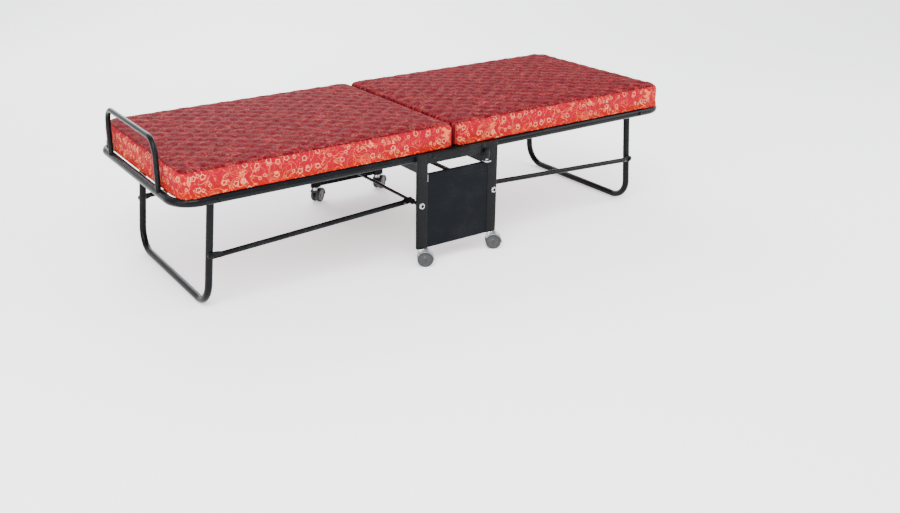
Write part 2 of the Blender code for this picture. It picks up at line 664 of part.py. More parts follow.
def build_link(way, side):
    """Round link with flattened ends, a bush at the cross rod and a bolt at the leg."""
    label = f"{end_name(way)}_link_{side_name(side)}"
    bolt_x, bolt_z = link_bolt()
    rod_end = Vector((way * ROD_X, side * LINK_Y, ROD_Z))
    leg_end = Vector((way * bolt_x, side * LINK_Y, bolt_z))
    axis = joint_axis(f"{label}_axis", (rod_end.x, 0, rod_end.z))
    run = (leg_end - rod_end).normalized()
    overlap = 0.004
    link = rod(label, rod_end + run * (LINK_TAB_LENGTH - overlap),
               leg_end - run * (LINK_TAB_LENGTH - overlap), LINK_DIAMETER / 2, "black_enamel", axis,
               sides=12)
    pitch = math.atan2(run.z, run.x)
    tab_inner = LINK_Y - LINK_DIAMETER / 2 + LINK_TAB_INSET
    tab_outer = tab_inner + LINK_TAB
    tab_y = side * (tab_inner + tab_outer) / 2
    tab_root = LINK_DIAMETER / 2 + LINK_TAB_INSET
    for end, facing in ((rod_end, pitch), (leg_end, pitch + math.pi)):
        shape = arc((0, 0), LINK_EYE, math.radians(90), math.radians(270), 8)
        shape += [(LINK_TAB_LENGTH, -tab_root), (LINK_TAB_LENGTH, tab_root)]
        place = Matrix.Translation((end.x, tab_y, end.z)) @ Matrix.Rotation(-facing, 4, "Y") \
            @ Matrix.Rotation(math.radians(90), 4, "X")
        name = f"{label}_tab_{'rod' if end is rod_end else 'leg'}"
        combine(link, outline(name, shape, LINK_TAB, place, "black_enamel"), "UNION")
    bush_start = side * (tab_outer - 0.001)
    bush_end = side * (tab_outer - 0.001 + BUSH_LENGTH)
    combine(link, rod(f"{label}_bush", (rod_end.x, bush_start, rod_end.z),
                      (rod_end.x, bush_end, rod_end.z), BUSH_DIAMETER / 2, "black_enamel"), "UNION")
    drill(link, (rod_end.x, side * (LINK_Y - 0.03), rod_end.z),
          (rod_end.x, side * (LINK_Y + 0.04), rod_end.z), ROD_DIAMETER / 2 + RUNNING)
    drill(link, (leg_end.x, side * (tab_inner - 0.01), leg_end.z),
          (leg_end.x, side * (tab_outer + 0.01), leg_end.z), PIN_DIAMETER / 2 + RUNNING)
    pin, cap = PIN_DIAMETER / 2, HEAD_DIAMETER / 2
    head = tab_outer + TOUCH
    profile = [(0, head + HEAD_THICKNESS), (cap * 0.7, head + HEAD_THICKNESS),
               (cap, head + HEAD_THICKNESS * 0.4), (cap, head), (pin, head), (pin, tab_inner),
               (0, tab_inner)]
    turned(f"{label}_bolt", profile, (leg_end.x, 0, leg_end.z), (-side * math.radians(90), 0, 0),
           "black_enamel", axis)


# ================================================================ assembly
def build_cot():
    """Build the stand, then each half with its leg and links."""
    clear_scene()
    for side in (-1, 1):
        build_side_frame(side)
        for way in (-1, 1):
            build_pivot_pin(way, side)
            build_caster(way, side)
            build_link(way, side)
    build_cross_parts()
    build_lock()
    for way in (-1, 1):
        half_axis = joint_axis(f"{end_name(way)}_fold_axis", (way * PIVOT_X, 0, PIVOT_Z))
        build_half_frame(way, half_axis)
        build_bedding(way, half_axis)
        leg_axis = joint_axis(f"{end_name(way)}_leg_axis", (way * LEG_X, 0, RAIL_HEIGHT))
        build_leg(way, leg_axis)
        if way < 0:
            build_guard(way, half_axis)


build_cot()
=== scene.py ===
"""Looks of the folding cot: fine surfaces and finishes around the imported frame.

Every sub-assembly is a class that reads its places from the frame, builds its surfaces as
numpy grids or carried profiles, and hands each piece its finish. Metres, +Z up, +X towards
the foot end. `way` is -1 at the head end and +1 at the foot end, `side` is -1 on the near
side and +1 on the far side, as in the design.
"""

import logging
import math
from dataclasses import dataclass, field
from enum import Enum
from typing import Optional, Sequence

import bmesh
import bpy
import numpy as np
from mathutils import Matrix, Vector


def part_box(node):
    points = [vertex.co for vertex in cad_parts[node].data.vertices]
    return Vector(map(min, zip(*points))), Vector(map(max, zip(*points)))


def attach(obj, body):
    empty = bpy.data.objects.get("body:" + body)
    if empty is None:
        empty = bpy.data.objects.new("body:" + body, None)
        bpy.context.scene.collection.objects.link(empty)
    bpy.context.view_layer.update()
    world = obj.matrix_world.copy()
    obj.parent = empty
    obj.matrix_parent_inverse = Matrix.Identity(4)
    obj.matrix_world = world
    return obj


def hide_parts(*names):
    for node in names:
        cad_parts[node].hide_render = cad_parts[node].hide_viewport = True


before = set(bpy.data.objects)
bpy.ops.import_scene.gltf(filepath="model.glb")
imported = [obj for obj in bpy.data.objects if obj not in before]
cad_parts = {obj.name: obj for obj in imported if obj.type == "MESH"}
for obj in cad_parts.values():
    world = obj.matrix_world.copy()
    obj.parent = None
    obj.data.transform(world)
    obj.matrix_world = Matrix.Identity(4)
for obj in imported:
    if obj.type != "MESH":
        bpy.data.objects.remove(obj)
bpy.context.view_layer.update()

log = logging.getLogger("folding_cot")
MM = 0.001
HEAD_HEIGHT = 4.5 * MM      # a rivet's or a bolt's domed head, with its washer
BOLT_HEAD = 6.6 * MM        # radius of a bolt's head
BOLT_WASHER = 8.0 * MM      # radius of the washer under it
WASHER_THICKNESS = 0.9 * MM
TURN = 6.28                 # a full turn in radians, near enough for a pattern
SHARP_ANGLE = 35.0          # degrees over which an edge stays sharp
Colour = tuple[float, float, float]
Point = tuple[float, float, float]


class End(Enum):
    """The two ends of the cot, by their sign along X."""

    HEAD = -1
    FOOT = 1

    @property
    def word(self) -> str:
        """The end's name, as the nodes spell it."""
        return self.name.lower()


class Side(Enum):
    """The two sides of the cot, by their sign along Y."""

    NEAR = -1
    FAR = 1

    @property
    def word(self) -> str:
        """The side's name, as the nodes spell it."""
        return self.name.lower()


# ================================================================ places in the frame
def corners(node: str) -> tuple[np.ndarray, np.ndarray]:
    """Lowest and highest corner of a CAD node.

    Args:
        node: the node's name.

    Returns:
        Two arrays of three numbers.
    """
    low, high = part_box(node)
    return np.array(low), np.array(high)


# ================================================================ surfaces
def grid_faces(rows: int, columns: int, round_rows: bool = False,
               round_columns: bool = True) -> np.ndarray:
    """Quads that join neighbours on a grid of points numbered row by row.

    Args:
        rows: number of rows.
        columns: number of points in a row.
        round_rows: joins the last row to the first.
        round_columns: joins the last point of a row to its first.

    Returns:
        An array of four indices a face.
    """
    row = np.arange(rows if round_rows else rows - 1)
    column = np.arange(columns if round_columns else columns - 1)
    row, column = np.meshgrid(row, column, indexing="ij")
    next_row, next_column = (row + 1) % rows, (column + 1) % columns
    return np.stack([row * columns + column, row * columns + next_column,
                     next_row * columns + next_column, next_row * columns + column],
                    axis=-1).reshape(-1, 4)


def as_piece(name: str, points: np.ndarray, faces: Sequence, sharp: float = SHARP_ANGLE,
             closed: bool = True) -> bpy.types.Object:
    """Put points and faces into the scene as a welded, smooth-shaded piece.

    Args:
        name: the piece's name.
        points: an array of points, three numbers each.
        faces: the points' indices of each face.
        sharp: edges over this angle in degrees stay sharp.
        closed: whether the surface encloses a volume, so that its normals can be turned out.

    Returns:
        The new object, at the origin.
    """
    mesh = bpy.data.meshes.new(name)
    mesh.from_pydata(np.asarray(points, float).reshape(-1, 3).tolist(), [],
                     [list(map(int, face)) for face in faces])
    builder = bmesh.new()
    builder.from_mesh(mesh)
    bmesh.ops.remove_doubles(builder, verts=builder.verts, dist=0.002 * MM)
    if closed:
        bmesh.ops.recalc_face_normals(builder, faces=builder.faces)
    builder.to_mesh(mesh)
    builder.free()
    mesh.shade_smooth()
    mesh.set_sharp_from_angle(angle=math.radians(sharp))
    piece = bpy.data.objects.new(name, mesh)
    bpy.context.scene.collection.objects.link(piece)
    return piece


def joined(name: str, pieces: Sequence[bpy.types.Object]) -> bpy.types.Object:
    """Make several pieces one object, with the first one's name changed.

    Args:
        name: the name of the joined piece.
        pieces: the pieces, which all keep their own closed surfaces.

    Returns:
        The joined object.
    """
    builder = bmesh.new()
    for piece in pieces:
        builder.from_mesh(piece.data)
    mesh = bpy.data.meshes.new(name)
    builder.to_mesh(mesh)
    builder.free()
    for piece in pieces:
        bpy.data.objects.remove(piece, do_unlink=True)
    mesh.shade_smooth()
    mesh.set_sharp_from_angle(angle=math.radians(SHARP_ANGLE))
    made = bpy.data.objects.new(name, mesh)
    bpy.context.scene.collection.objects.link(made)
    return made


def basis_of(direction: np.ndarray) -> np.ndarray:
    """Three perpendicular unit rows, the last along a direction.

    Args:
        direction: the direction, of any length.

    Returns:
        A 3 by 3 array.
    """
    along = np.asarray(direction, float) / np.linalg.norm(direction)
    helper = np.array([0.0, 0.0, 1.0]) if abs(along[2]) < 0.9 else np.array([1.0, 0.0, 0.0])
    first = np.cross(helper, along)
    first /= np.linalg.norm(first)
    return np.stack([first, np.cross(along, first), along])


def turned(name: str, profile: Sequence[tuple[float, float]], place: np.ndarray,
           direction: np.ndarray, steps: int = 40, ring: bool = False) -> bpy.types.Object:
    """A turned piece: each (radius, height) of the profile goes round the axis.

    A point is place + height * axis + radius * (cos a * u + sin a * v).

    Args:
        name: the piece's name.
        profile: radius and height pairs; a radius of 0 closes the end.
        place: the point on the axis where height is 0.
        direction: the axis.
        steps: points round the axis.
        ring: whether the profile closes on itself, as for a washer.

    Returns:
        The piece.
    """
    radius, height = np.array(profile, float).T
    u, v, along = basis_of(direction)
    angle = np.linspace(0, 2 * np.pi, steps, endpoint=False)
    circle = np.cos(angle)[:, None] * u + np.sin(angle)[:, None] * v
    points = (np.asarray(place, float) + height[:, None, None] * along
              + radius[:, None, None] * circle)
    return as_piece(name, points, grid_faces(len(radius), steps, round_rows=ring))


def bent_path(points: Sequence, radius: float, pieces: int = 14) -> np.ndarray:
    """A path through corner points, each inner corner replaced by an arc.

    Args:
        points: the corner points.
        radius: the arcs' radius.
        pieces: straight pieces in each arc.

    Returns:
        An array of points.
    """
    points = [np.asarray(point, float) for point in points]
    share = np.linspace(0, 1, pieces + 1)[:, None]
    path = [points[0][None]]
    for before, corner, after in zip(points, points[1:], points[2:]):
        back = (before - corner) / np.linalg.norm(before - corner)
        on = (after - corner) / np.linalg.norm(after - corner)
        half = math.acos(float(np.clip(back @ on, -1, 1))) / 2
        centre = corner + (back + on) / np.linalg.norm(back + on) * radius / math.sin(half)
        first = corner + back * radius / math.tan(half) - centre
        last = corner + on * radius / math.tan(half) - centre
        sweep = math.pi - 2 * half
        path.append(centre + (first * np.sin((1 - share) * sweep)
                              + last * np.sin(share * sweep)) / math.sin(sweep))
    return np.concatenate([*path, points[-1][None]])


def swept(name: str, path: np.ndarray, radius: float, plane: np.ndarray,
          edge: float = 1.2 * MM, sides: int = 28) -> bpy.types.Object:
    """A round tube along a flat path, with rounded rims and closed ends.

    A point is the path's point + r * (cos a * side + sin a * plane), where r shrinks over
    the edge's quarter circle to 0 at each end.

    Args:
        name: the piece's name.
        path: the centre line, an array of points in one plane.
        radius: the tube's outer radius.
        plane: the normal of the path's plane.
        edge: the radius of the rounded rims.
        sides: points round the tube.

    Returns:
        The piece.
    """
    plane = np.asarray(plane, float) / np.linalg.norm(plane)
    quarter = np.linspace(0, np.pi / 2, 5)
    start, end = path[1] - path[0], path[-2] - path[-1]
    start, end = start / np.linalg.norm(start), end / np.linalg.norm(end)
    inset = edge * (1 - np.sin(quarter))
    rim = radius - edge * (1 - np.cos(quarter[::-1]))
    head = path[0] + inset[:, None] * start
    tail = path[-1] + inset[:, None] * end
    line = np.concatenate([path[:1], head, path[1:-1], tail[::-1], path[-1:]])
    size = np.concatenate([[0], rim, np.full(len(path) - 2, radius), rim[::-1], [0]])
    run = np.gradient(path, axis=0)
    run /= np.linalg.norm(run, axis=1)[:, None]
    run = np.concatenate([np.repeat(start[None], 6, 0), run[1:-1], np.repeat(-end[None], 6, 0)])
    across = np.cross(plane, run)
    across /= np.linalg.norm(across, axis=1)[:, None]
    angle = np.linspace(0, 2 * np.pi, sides, endpoint=False)
    points = (line[:, None] + size[:, None, None]
              * (np.cos(angle)[None, :, None] * across[:, None] + np.sin(angle)[:, None] * plane))
    return as_piece(name, points, grid_faces(len(line), sides))


def straight(name: str, start: Sequence[float], end: Sequence[float], radius: float,
             edge: float = 1.0 * MM, sides: int = 28) -> bpy.types.Object:
    """A straight round bar with rounded rims.

    Args:
        name: the piece's name.
        start: the centre of one end.
        end: the centre of the other end.
        radius: the bar's radius.
        edge: the radius of the rims.
        sides: points round the bar.

    Returns:
        The piece.
    """
    path = np.linspace(start, end, 4)
    return swept(name, path, radius, basis_of(path[-1] - path[0])[0], edge, sides)


def rounded_rectangle(width: float, height: float, radius: float, pieces: int = 4) -> np.ndarray:
    """Outline of a rectangle with round corners, anticlockwise, centred on 0.

    Args:
        width: size along the first axis.
        height: size along the second axis.
        radius: corner radius.
        pieces: straight pieces in each corner.

    Returns:
        An array of (x, y) pairs.
    """
    turn = np.linspace(0, np.pi / 2, pieces + 1)
    start = np.arange(4)[:, None] * np.pi / 2
    centre = np.array([[1, 1], [-1, 1], [-1, -1], [1, -1]]) * (
        np.array([width, height]) / 2 - radius)
    angle = start + turn
    return (centre[:, None] + radius * np.stack([np.cos(angle), np.sin(angle)], -1)).reshape(-1, 2)


def lofted(name: str, loops: np.ndarray, sharp: float = SHARP_ANGLE) -> bpy.types.Object:
    """A closed piece through a row of closed loops, with a flat face at both ends.

    Args:
        name: the piece's name.
        loops: an array of loops, each of the same number of points.
        sharp: edges over this angle in degrees stay sharp.

    Returns:
        The piece.
    """
    rows, columns = loops.shape[:2]
    last = (rows - 1) * columns
    faces = [*grid_faces(rows, columns).tolist(), list(range(columns))[::-1],
             list(range(last, last + columns))]
    return as_piece(name, loops, faces, sharp)


def prism(name: str, outline: np.ndarray, first: np.ndarray, second: np.ndarray,
          start: Sequence[float], end: Sequence[float], edge: float = 0.0) -> bpy.types.Object:
    """A straight bar of any section: the outline carried from start to end.

    Args:
        name: the piece's name.
        outline: the section as (a, b) pairs.
        first: the direction of a.
        second: the direction of b.
        start: the section's origin at one end.
        end: the section's origin at the other end.
        edge: the width of the rounded edges; 0 leaves them sharp.

    Returns:
        The piece.
    """
    section = outline[:, :1] * np.asarray(first, float) + outline[:, 1:] * np.asarray(second, float)
    points = np.stack([np.asarray(start, float) + section, np.asarray(end, float) + section])
    piece = lofted(name, points, 30)
    if edge:
        bevel = piece.modifiers.new("rounded_edges", "BEVEL")
        bevel.width = edge
        bevel.segments = 3
        bevel.limit_method = "ANGLE"
        bevel.angle_limit = math.radians(30)
        bevel.harden_normals = True
    return piece


# ================================================================ finishes
class Nodes:
    """A small writer of material node trees."""

    def __init__(self, name: str) -> None:
        """Start a material that holds only its output and a Principled shader.

        Args:
            name: the material's name.
        """
        self.material = bpy.data.materials.new(name)
        self.material.use_nodes = True
        self.tree = self.material.node_tree
        self.shader = self.tree.nodes["Principled BSDF"]

    def add(self, kind: str, values: Optional[dict] = None, **settings: object) -> bpy.types.Node:
        """Add a node.

        Args:
            kind: the node's type without its ShaderNode prefix.
            values: input name or number to a value, or to an output socket to link from.
            settings: the node's own properties.

        Returns:
            The node.
        """
        node = self.tree.nodes.new("ShaderNode" + kind)
        for key, value in settings.items():
            setattr(node, key, value)
        for key, value in (values or {}).items():
            self.feed(node.inputs[key], value)
        return node

    def feed(self, socket: bpy.types.NodeSocket, value: object) -> None:
        """Set a socket's value, or link it from an output socket.

        Args:
            socket: the input socket.
            value: a value, or the output socket to link from.
        """
        if isinstance(value, bpy.types.NodeSocket):
            self.tree.links.new(value, socket)
        else:
            socket.default_value = value

    def math(self, operation: str, *inputs: object, clamp: bool = False) -> bpy.types.NodeSocket:
        """The output of a Math node with these inputs.

        Args:
            operation: the node's operation.
            inputs: values or output sockets, in order.
            clamp: whether the result is kept from 0 to 1.

        Returns:
            The output socket.
        """
        return self.add("Math", dict(enumerate(inputs)), operation=operation,
                        use_clamp=clamp).outputs[0]

    def blend(self, share: object, first: object, second: object) -> bpy.types.NodeSocket:
        """A colour mixed from two colours by a share.

        Args:
            share: the second colour's share.
            first: the first colour or socket.
            second: the second colour or socket.

        Returns:
            The output socket.
        """
        node = self.add("Mix", data_type="RGBA")
        for key, value in ((0, share), (6, first), (7, second)):
            self.feed(node.inputs[key], value)
        return node.outputs[2]

    def ramp(self, value: bpy.types.NodeSocket, low: float, high: float) -> bpy.types.NodeSocket:
        """A share that is 0 up to low and 1 from high on, with a smooth step between them."""
        return self.add("MapRange", {0: value, 1: low, 2: high},
                        interpolation_type="SMOOTHSTEP").outputs[0]

    def noise(self, place: bpy.types.NodeSocket, scale: float, detail: float = 2.0,
              rough: float = 0.5) -> bpy.types.NodeSocket:
        """The value of a noise texture at a place."""
        return self.add("TexNoise", {"Vector": place, "Scale": scale, "Detail": detail,
                                     "Roughness": rough}).outputs["Fac"]

    def bump(self, height: bpy.types.NodeSocket, depth: float, strength: float = 1.0,
             under: Optional[bpy.types.NodeSocket] = None) -> bpy.types.NodeSocket:
        """A normal bumped by a height, on top of another normal if one is given.

        Args:
            height: the height's socket.
            depth: the depth that a height of 1 stands for.
            strength: how much of it shows.
            under: the normal under it.

        Returns:
            The normal.
        """
        values = {"Height": height, "Distance": depth, "Strength": strength}
        if under:
            values["Normal"] = under
        return self.add("Bump", values).outputs[0]

    def set(self, **values: object) -> None:
        """Set the shader's inputs, written with _ for the spaces in their names."""
        for key, value in values.items():
            self.feed(self.shader.inputs[key.replace("_", " ")], value)


def rgba(colour: Colour) -> tuple[float, float, float, float]:
    """A colour with full alpha."""
    return (*colour, 1.0)


@dataclass(frozen=True)
class Enamel:
    """Baked enamel on steel: orange peel, dust in the shine, a little chipping."""

    name: str
    colour: Colour = (0.0030, 0.0036, 0.0042)
    worn: Colour = (0.014, 0.015, 0.016)
    gloss: float = 0.24
    peel: float = 0.05 * MM
    shine: float = 0.07
    coat: float = 0.04

    def made(self) -> bpy.types.Material:
        """Write this finish's nodes.

        Returns:
            The material.
        """
        nodes = Nodes(self.name)
        place = nodes.add("TexCoord").outputs["Object"]
        patches = nodes.noise(place, 9.0, 4.0, 0.6)
        specks = nodes.noise(place, 420.0, 2.0)
        dust = nodes.ramp(nodes.math("MULTIPLY", patches, specks), 0.26, 0.44)
        rough = nodes.math("MULTIPLY_ADD", patches, 0.16, self.gloss - 0.08)
        rough = nodes.math("ADD", rough, nodes.math("MULTIPLY", dust, 0.10))
        nodes.set(Base_Color=nodes.blend(dust, rgba(self.colour), rgba(self.worn)),
                  Roughness=rough, IOR=1.5, Coat_Weight=self.coat, Coat_Roughness=0.12,
                  Specular_IOR_Level=self.shine,
                  Normal=nodes.bump(nodes.noise(place, 260.0, 1.0), self.peel, 0.5))
        return nodes.material


@dataclass(frozen=True)
class Plating:
    """Bright plated steel with fine turning marks and dull patches."""

    name: str = "bright_plating"
    colour: Colour = (0.60, 0.61, 0.62)
    gloss: float = 0.20

    def made(self) -> bpy.types.Material:
        """Write this finish's nodes.

        Returns:
            The material.
        """
        nodes = Nodes(self.name)
        place = nodes.add("TexCoord").outputs["Object"]
        dull = nodes.noise(place, 60.0, 4.0, 0.65)
        marks = nodes.noise(place, 900.0, 1.0)
        colour = nodes.blend(nodes.ramp(dull, 0.45, 0.75), rgba(self.colour), (0.42, 0.43, 0.44, 1))
        nodes.set(Base_Color=colour, Metallic=1.0,
                  Roughness=nodes.math("MULTIPLY_ADD", dull, 0.25, self.gloss - 0.06),
                  Normal=nodes.bump(marks, 0.02 * MM, 0.35))
        return nodes.material


@dataclass(frozen=True)
class Moulding:
    """Moulded plastic or rubber with a fine grain."""

    name: str
    colour: Colour
    gloss: float
    grain: float = 0.04 * MM
    coat: float = 0.0
    dirt: Colour = (0.16, 0.15, 0.14)

    def made(self) -> bpy.types.Material:
        """Write this finish's nodes.

        Returns:
            The material.
        """
        nodes = Nodes(self.name)
        place = nodes.add("TexCoord").outputs["Object"]
        grain = nodes.noise(place, 1400.0, 2.0)
        scuffs = nodes.ramp(nodes.noise(place, 75.0, 5.0, 0.7), 0.52, 0.78)
        soft = nodes.math("MULTIPLY", scuffs, 0.30)
        nodes.set(Base_Color=nodes.blend(soft, rgba(self.colour), rgba(self.dirt)),
                  Roughness=nodes.math("MULTIPLY_ADD", scuffs, 0.18, self.gloss),
                  Coat_Weight=self.coat, Coat_Roughness=0.08,
                  Normal=nodes.bump(grain, self.grain, 0.4))
        return nodes.material


@dataclass(frozen=True)
class PrintedCloth:
    """Cotton cover printed with ring flowers on curling vines; its top is quilted.

    The print lies on the UV map "cloth", in metres, which is laid panel by panel. The point
    attribute "inside_seam" is the distance to the top panel's seam, in metres, and positive
    on the top panel. A second point attribute, from 0 to 1, is the share of painted shade
    along the stitches and seams; the creases of the top and the underside are painted
    darker as painted shade too.
    """

    name: str = "printed_cotton"
    pink: Colour = (0.275, 0.0002, 0.0130)
    orange: Colour = (0.255, 0.0030, 0.0006)
    maroon: Colour = (0.205, 0.0008, 0.0105)
    shade: Colour = (0.028, 0.0002, 0.0012)
    gold: Colour = (0.58, 0.110, 0.040)
    fleck: Colour = (0.42, 0.030, 0.034)
    pale: Colour = (0.66, 0.26, 0.13)
    flowers: float = 30.0
    flower_size: float = 0.20
    bud_size: float = 0.12
    lobes: float = 5.0
    lobe_depth: float = 0.16
    vines: float = 34.0
    thin_vines: float = 0.35
    threads: float = 1100.0
    crease_pitch: Point = (26.0, 120.0, 1.0)
    crease_lean: float = -32.0
    turn_low: float = 0.362
    turn_high: float = 0.398
    # height under which the cover's underside is painted darker, as painted shade
    below: float = 0.3635

    def ring_flowers(self, nodes: Nodes, place: bpy.types.NodeSocket, seed: float,
                     size: float) -> bpy.types.NodeSocket:
        """Outlines of five-lobed rings, one in each cell of a loose lattice.

        In a cell with its middle at c, the outline is where |p - c| is size times
        1 + lobe_depth * cos(lobes * angle).

        Args:
            nodes: the material's writer.
            place: the place on the cloth.
            seed: a shift that makes another lattice.
            size: the rings' size in cells.

        Returns:
            A share that is 1 on the outlines.
        """
        shifted = nodes.add("VectorMath", {0: place, 1: (seed, seed * 0.7, 0)}).outputs[0]
        cells = nodes.add("TexVoronoi", {"Vector": shifted, "Scale": self.flowers,
                                         "Randomness": 0.85}, voronoi_dimensions="2D")
        away = nodes.add("VectorMath", {0: shifted, 1: cells.outputs["Position"]},
                         operation="SUBTRACT").outputs[0]
        parts = nodes.add("SeparateXYZ", {0: away})
        angle = nodes.math("ARCTAN2", parts.outputs[1], parts.outputs[0])
        tint = nodes.add("SeparateXYZ", {0: cells.outputs["Color"]})
        turn = nodes.math("MULTIPLY", tint.outputs[0], TURN)
        lobes = nodes.math("COSINE", nodes.math("MULTIPLY_ADD", angle, self.lobes, turn))
        radius = nodes.math("MULTIPLY_ADD", lobes, self.lobe_depth * size, size)
        off = nodes.math("ABSOLUTE", nodes.math("SUBTRACT", cells.outputs["Distance"], radius))
        outline = nodes.math("SUBTRACT", 1.0, nodes.ramp(off, 0.018, 0.038))
        kept = nodes.ramp(tint.outputs[1], 0.44, 0.50)
        return nodes.math("MULTIPLY", outline, kept)

    def curling_vines(self, nodes: Nodes, place: bpy.types.NodeSocket,
                      seed: float) -> bpy.types.NodeSocket:
        """Curling strokes: the level lines of a smooth noise, about 2 mm wide.

        Args:
            nodes: the material's writer.
            place: the place on the cloth.
            seed: a shift that makes other vines.

        Returns:
            A share that is 1 on the strokes.
        """
        shifted = nodes.add("VectorMath", {0: place, 1: (seed, -seed, 0)}).outputs[0]
        level = nodes.add("TexNoise", {"Vector": shifted, "Scale": self.vines, "Detail": 1.0,
                                       "Distortion": 0.9}, noise_dimensions="2D").outputs["Fac"]
        off = nodes.math("ABSOLUTE", nodes.math("SUBTRACT", level, 0.5))
        return nodes.math("SUBTRACT", 1.0, nodes.ramp(off, 0.010, 0.024))

    def made(self) -> bpy.types.Material:
        """Write this finish's nodes.

        Returns:
            The material.
        """
        nodes = Nodes(self.name)
        cloth = nodes.add("UVMap", uv_map="cloth").outputs[0]
        seam = nodes.add("Attribute", attribute_name="inside_seam").outputs["Fac"]
        quilted = nodes.ramp(seam, -0.0006, 0.0006)
        place = nodes.add("TexCoord").outputs["Object"]

        flowers = self.ring_flowers(nodes, cloth, 0.0, self.flower_size)
        buds = self.ring_flowers(nodes, cloth, 3.1, self.bud_size)
        thin = nodes.math("MULTIPLY", self.curling_vines(nodes, cloth, 5.3), self.thin_vines)
        vines = nodes.math("MAXIMUM", self.curling_vines(nodes, cloth, 0.0), thin)
        blooms = nodes.math("MAXIMUM", flowers, nodes.math("MULTIPLY", buds, 0.8))

        height = nodes.add("SeparateXYZ", {0: place}).outputs[2]
        wash = nodes.math("MULTIPLY_ADD", nodes.noise(cloth, 11.0, 2.0), 0.06, -0.03)
        wash = nodes.ramp(nodes.math("ADD", height, wash), self.turn_low, self.turn_high)
        plain = nodes.blend(wash, rgba(self.orange), rgba(self.pink))
        # painted shade: the underside is darkened towards the shade colour, and its print is drawn
        # fainter below
        under = nodes.ramp(height, self.below, self.below - 0.001)
        plain = nodes.blend(nodes.math("MULTIPLY", under, 0.45), plain, rgba(self.shade))
        mottle = nodes.ramp(nodes.noise(cloth, 150.0, 3.0, 0.6), 0.35, 0.68)
        top = nodes.blend(mottle, rgba(self.shade), rgba(self.maroon))
        ground = nodes.blend(quilted, plain, top)
        faint = nodes.math("MULTIPLY_ADD", under, -0.45, 1.0)
        vine_share = nodes.math("MULTIPLY", vines, nodes.math("MULTIPLY_ADD", quilted, -0.35, 0.95))
        vine_share = nodes.math("MULTIPLY", vine_share, faint)
        colour = nodes.blend(vine_share, ground,
                             nodes.blend(quilted, rgba(self.gold), rgba(self.fleck)))
        bloom_share = nodes.math("MULTIPLY_ADD", quilted, -0.70, 0.9)
        bloom_share = nodes.math("MULTIPLY", blooms, bloom_share)
        bloom_share = nodes.math("MULTIPLY", bloom_share, faint)
        colour = nodes.blend(bloom_share, colour, rgba(self.pale))
        # painted shade along the stitches and seams: the colour goes towards the shade colour
        stitch_shade = nodes.add("Attribute", attribute_name="stitch_shade").outputs["Fac"]
        colour = nodes.blend(nodes.math("MULTIPLY", stitch_shade, 0.26), colour, rgba(self.shade))

        warp = nodes.add("TexWave", {"Vector": cloth, "Scale": self.threads / TURN,
                                     "Distortion": 0.4}, bands_direction="X").outputs["Fac"]
        weft = nodes.add("TexWave", {"Vector": cloth, "Scale": self.threads / TURN,
                                     "Distortion": 0.4}, bands_direction="Y").outputs["Fac"]
        weave = nodes.math("MULTIPLY", warp, weft)
        lean = (0, 0, math.radians(self.crease_lean))
        stretched = nodes.add("Mapping", {"Vector": cloth, "Rotation": lean,
                                          "Scale": self.crease_pitch}, vector_type="POINT")
        creases = nodes.noise(stretched.outputs[0], 1.0, 3.0, 0.55)
        puckers = nodes.math("MULTIPLY", creases, nodes.math("MULTIPLY_ADD", quilted, 0.8, 0.2))
        # painted shade in the creases of the top: the colour goes towards the shade colour where
        # the crease noise is low
        colour = nodes.blend(nodes.math("MULTIPLY", nodes.ramp(creases, 0.60, 0.40),
                                        nodes.math("MULTIPLY", quilted, 0.42)),
                             colour, rgba(self.shade))
        normal = nodes.bump(puckers, 1.6 * MM, 0.8)
        normal = nodes.bump(weave, 0.06 * MM, 0.5, normal)
        fibres = nodes.noise(place, 900.0, 2.0)
        nodes.set(Base_Color=colour, Roughness=nodes.math("MULTIPLY_ADD", fibres, 0.16, 0.66),
                  Specular_IOR_Level=0.06, Normal=normal)
        return nodes.material


# ================================================================ carrying pieces
@dataclass(frozen=True)
class Palette:
    """The finishes of the cot, each made once."""

    enamel: bpy.types.Material
    sheet: bpy.types.Material
    plating: bpy.types.Material
    tyre: bpy.types.Material
    grey_plastic: bpy.types.Material
    smoke_plastic: bpy.types.Material
    black_plastic: bpy.types.Material
    cloth: bpy.types.Material

    @classmethod
    def mixed(cls) -> "Palette":
        """Make every finish.

        Returns:
            The palette.
        """
        return cls(
            enamel=Enamel("black_baked_enamel").made(),
            sheet=Enamel("blue_black_sheet", (0.0030, 0.0038, 0.0052), (0.011, 0.012, 0.015),
                         0.42, 0.08 * MM, 0.05, 0.0).made(),
            plating=Plating().made(),
            tyre=Moulding("dark_tyre", (0.010, 0.010, 0.011), 0.52, 0.08 * MM, 0.0,
                          (0.05, 0.05, 0.05)).made(),
            grey_plastic=Moulding("grey_wheel_disc", (0.020, 0.021, 0.023), 0.38).made(),
            smoke_plastic=Moulding("smoke_hood", (0.13, 0.135, 0.14), 0.18, 0.02 * MM, 0.6).made(),
            # black plastic, also used on the far casters as painted shade
            black_plastic=Moulding("black_hood", (0.005, 0.005, 0.0055), 0.30, 0.03 * MM, 0.2,
                                   (0.03, 0.03, 0.03)).made(),
            cloth=PrintedCloth().made())

    def paint(self, piece: bpy.types.Object, body: str, *nodes: str) -> bpy.types.Object:
        """Dress a piece in the black enamel, on a body, for the nodes that it stands for."""
        return dress(piece, body, self.enamel, "black_enamel", *nodes)


def dress(piece: bpy.types.Object, body: str, material: bpy.types.Material, slot: str,
          *nodes: str) -> bpy.types.Object:
    """Give a piece its finish and its place in the frame.

    Args:
        piece: the piece.
        body: the CAD body that it rides on.
        material: its finish.
        slot: not used.
        nodes: the CAD nodes that it stands for.

    Returns:
        The piece.
    """
    piece.data.materials.clear()
    piece.data.materials.append(material)
    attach(piece, body)
    if nodes:
        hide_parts(*nodes)
    log.info("%s rides on %s", piece.name, body)
    return piece


def middle(node: str) -> np.ndarray:
    """The middle of a CAD node's box."""
    low, high = corners(node)
    return (low + high) / 2


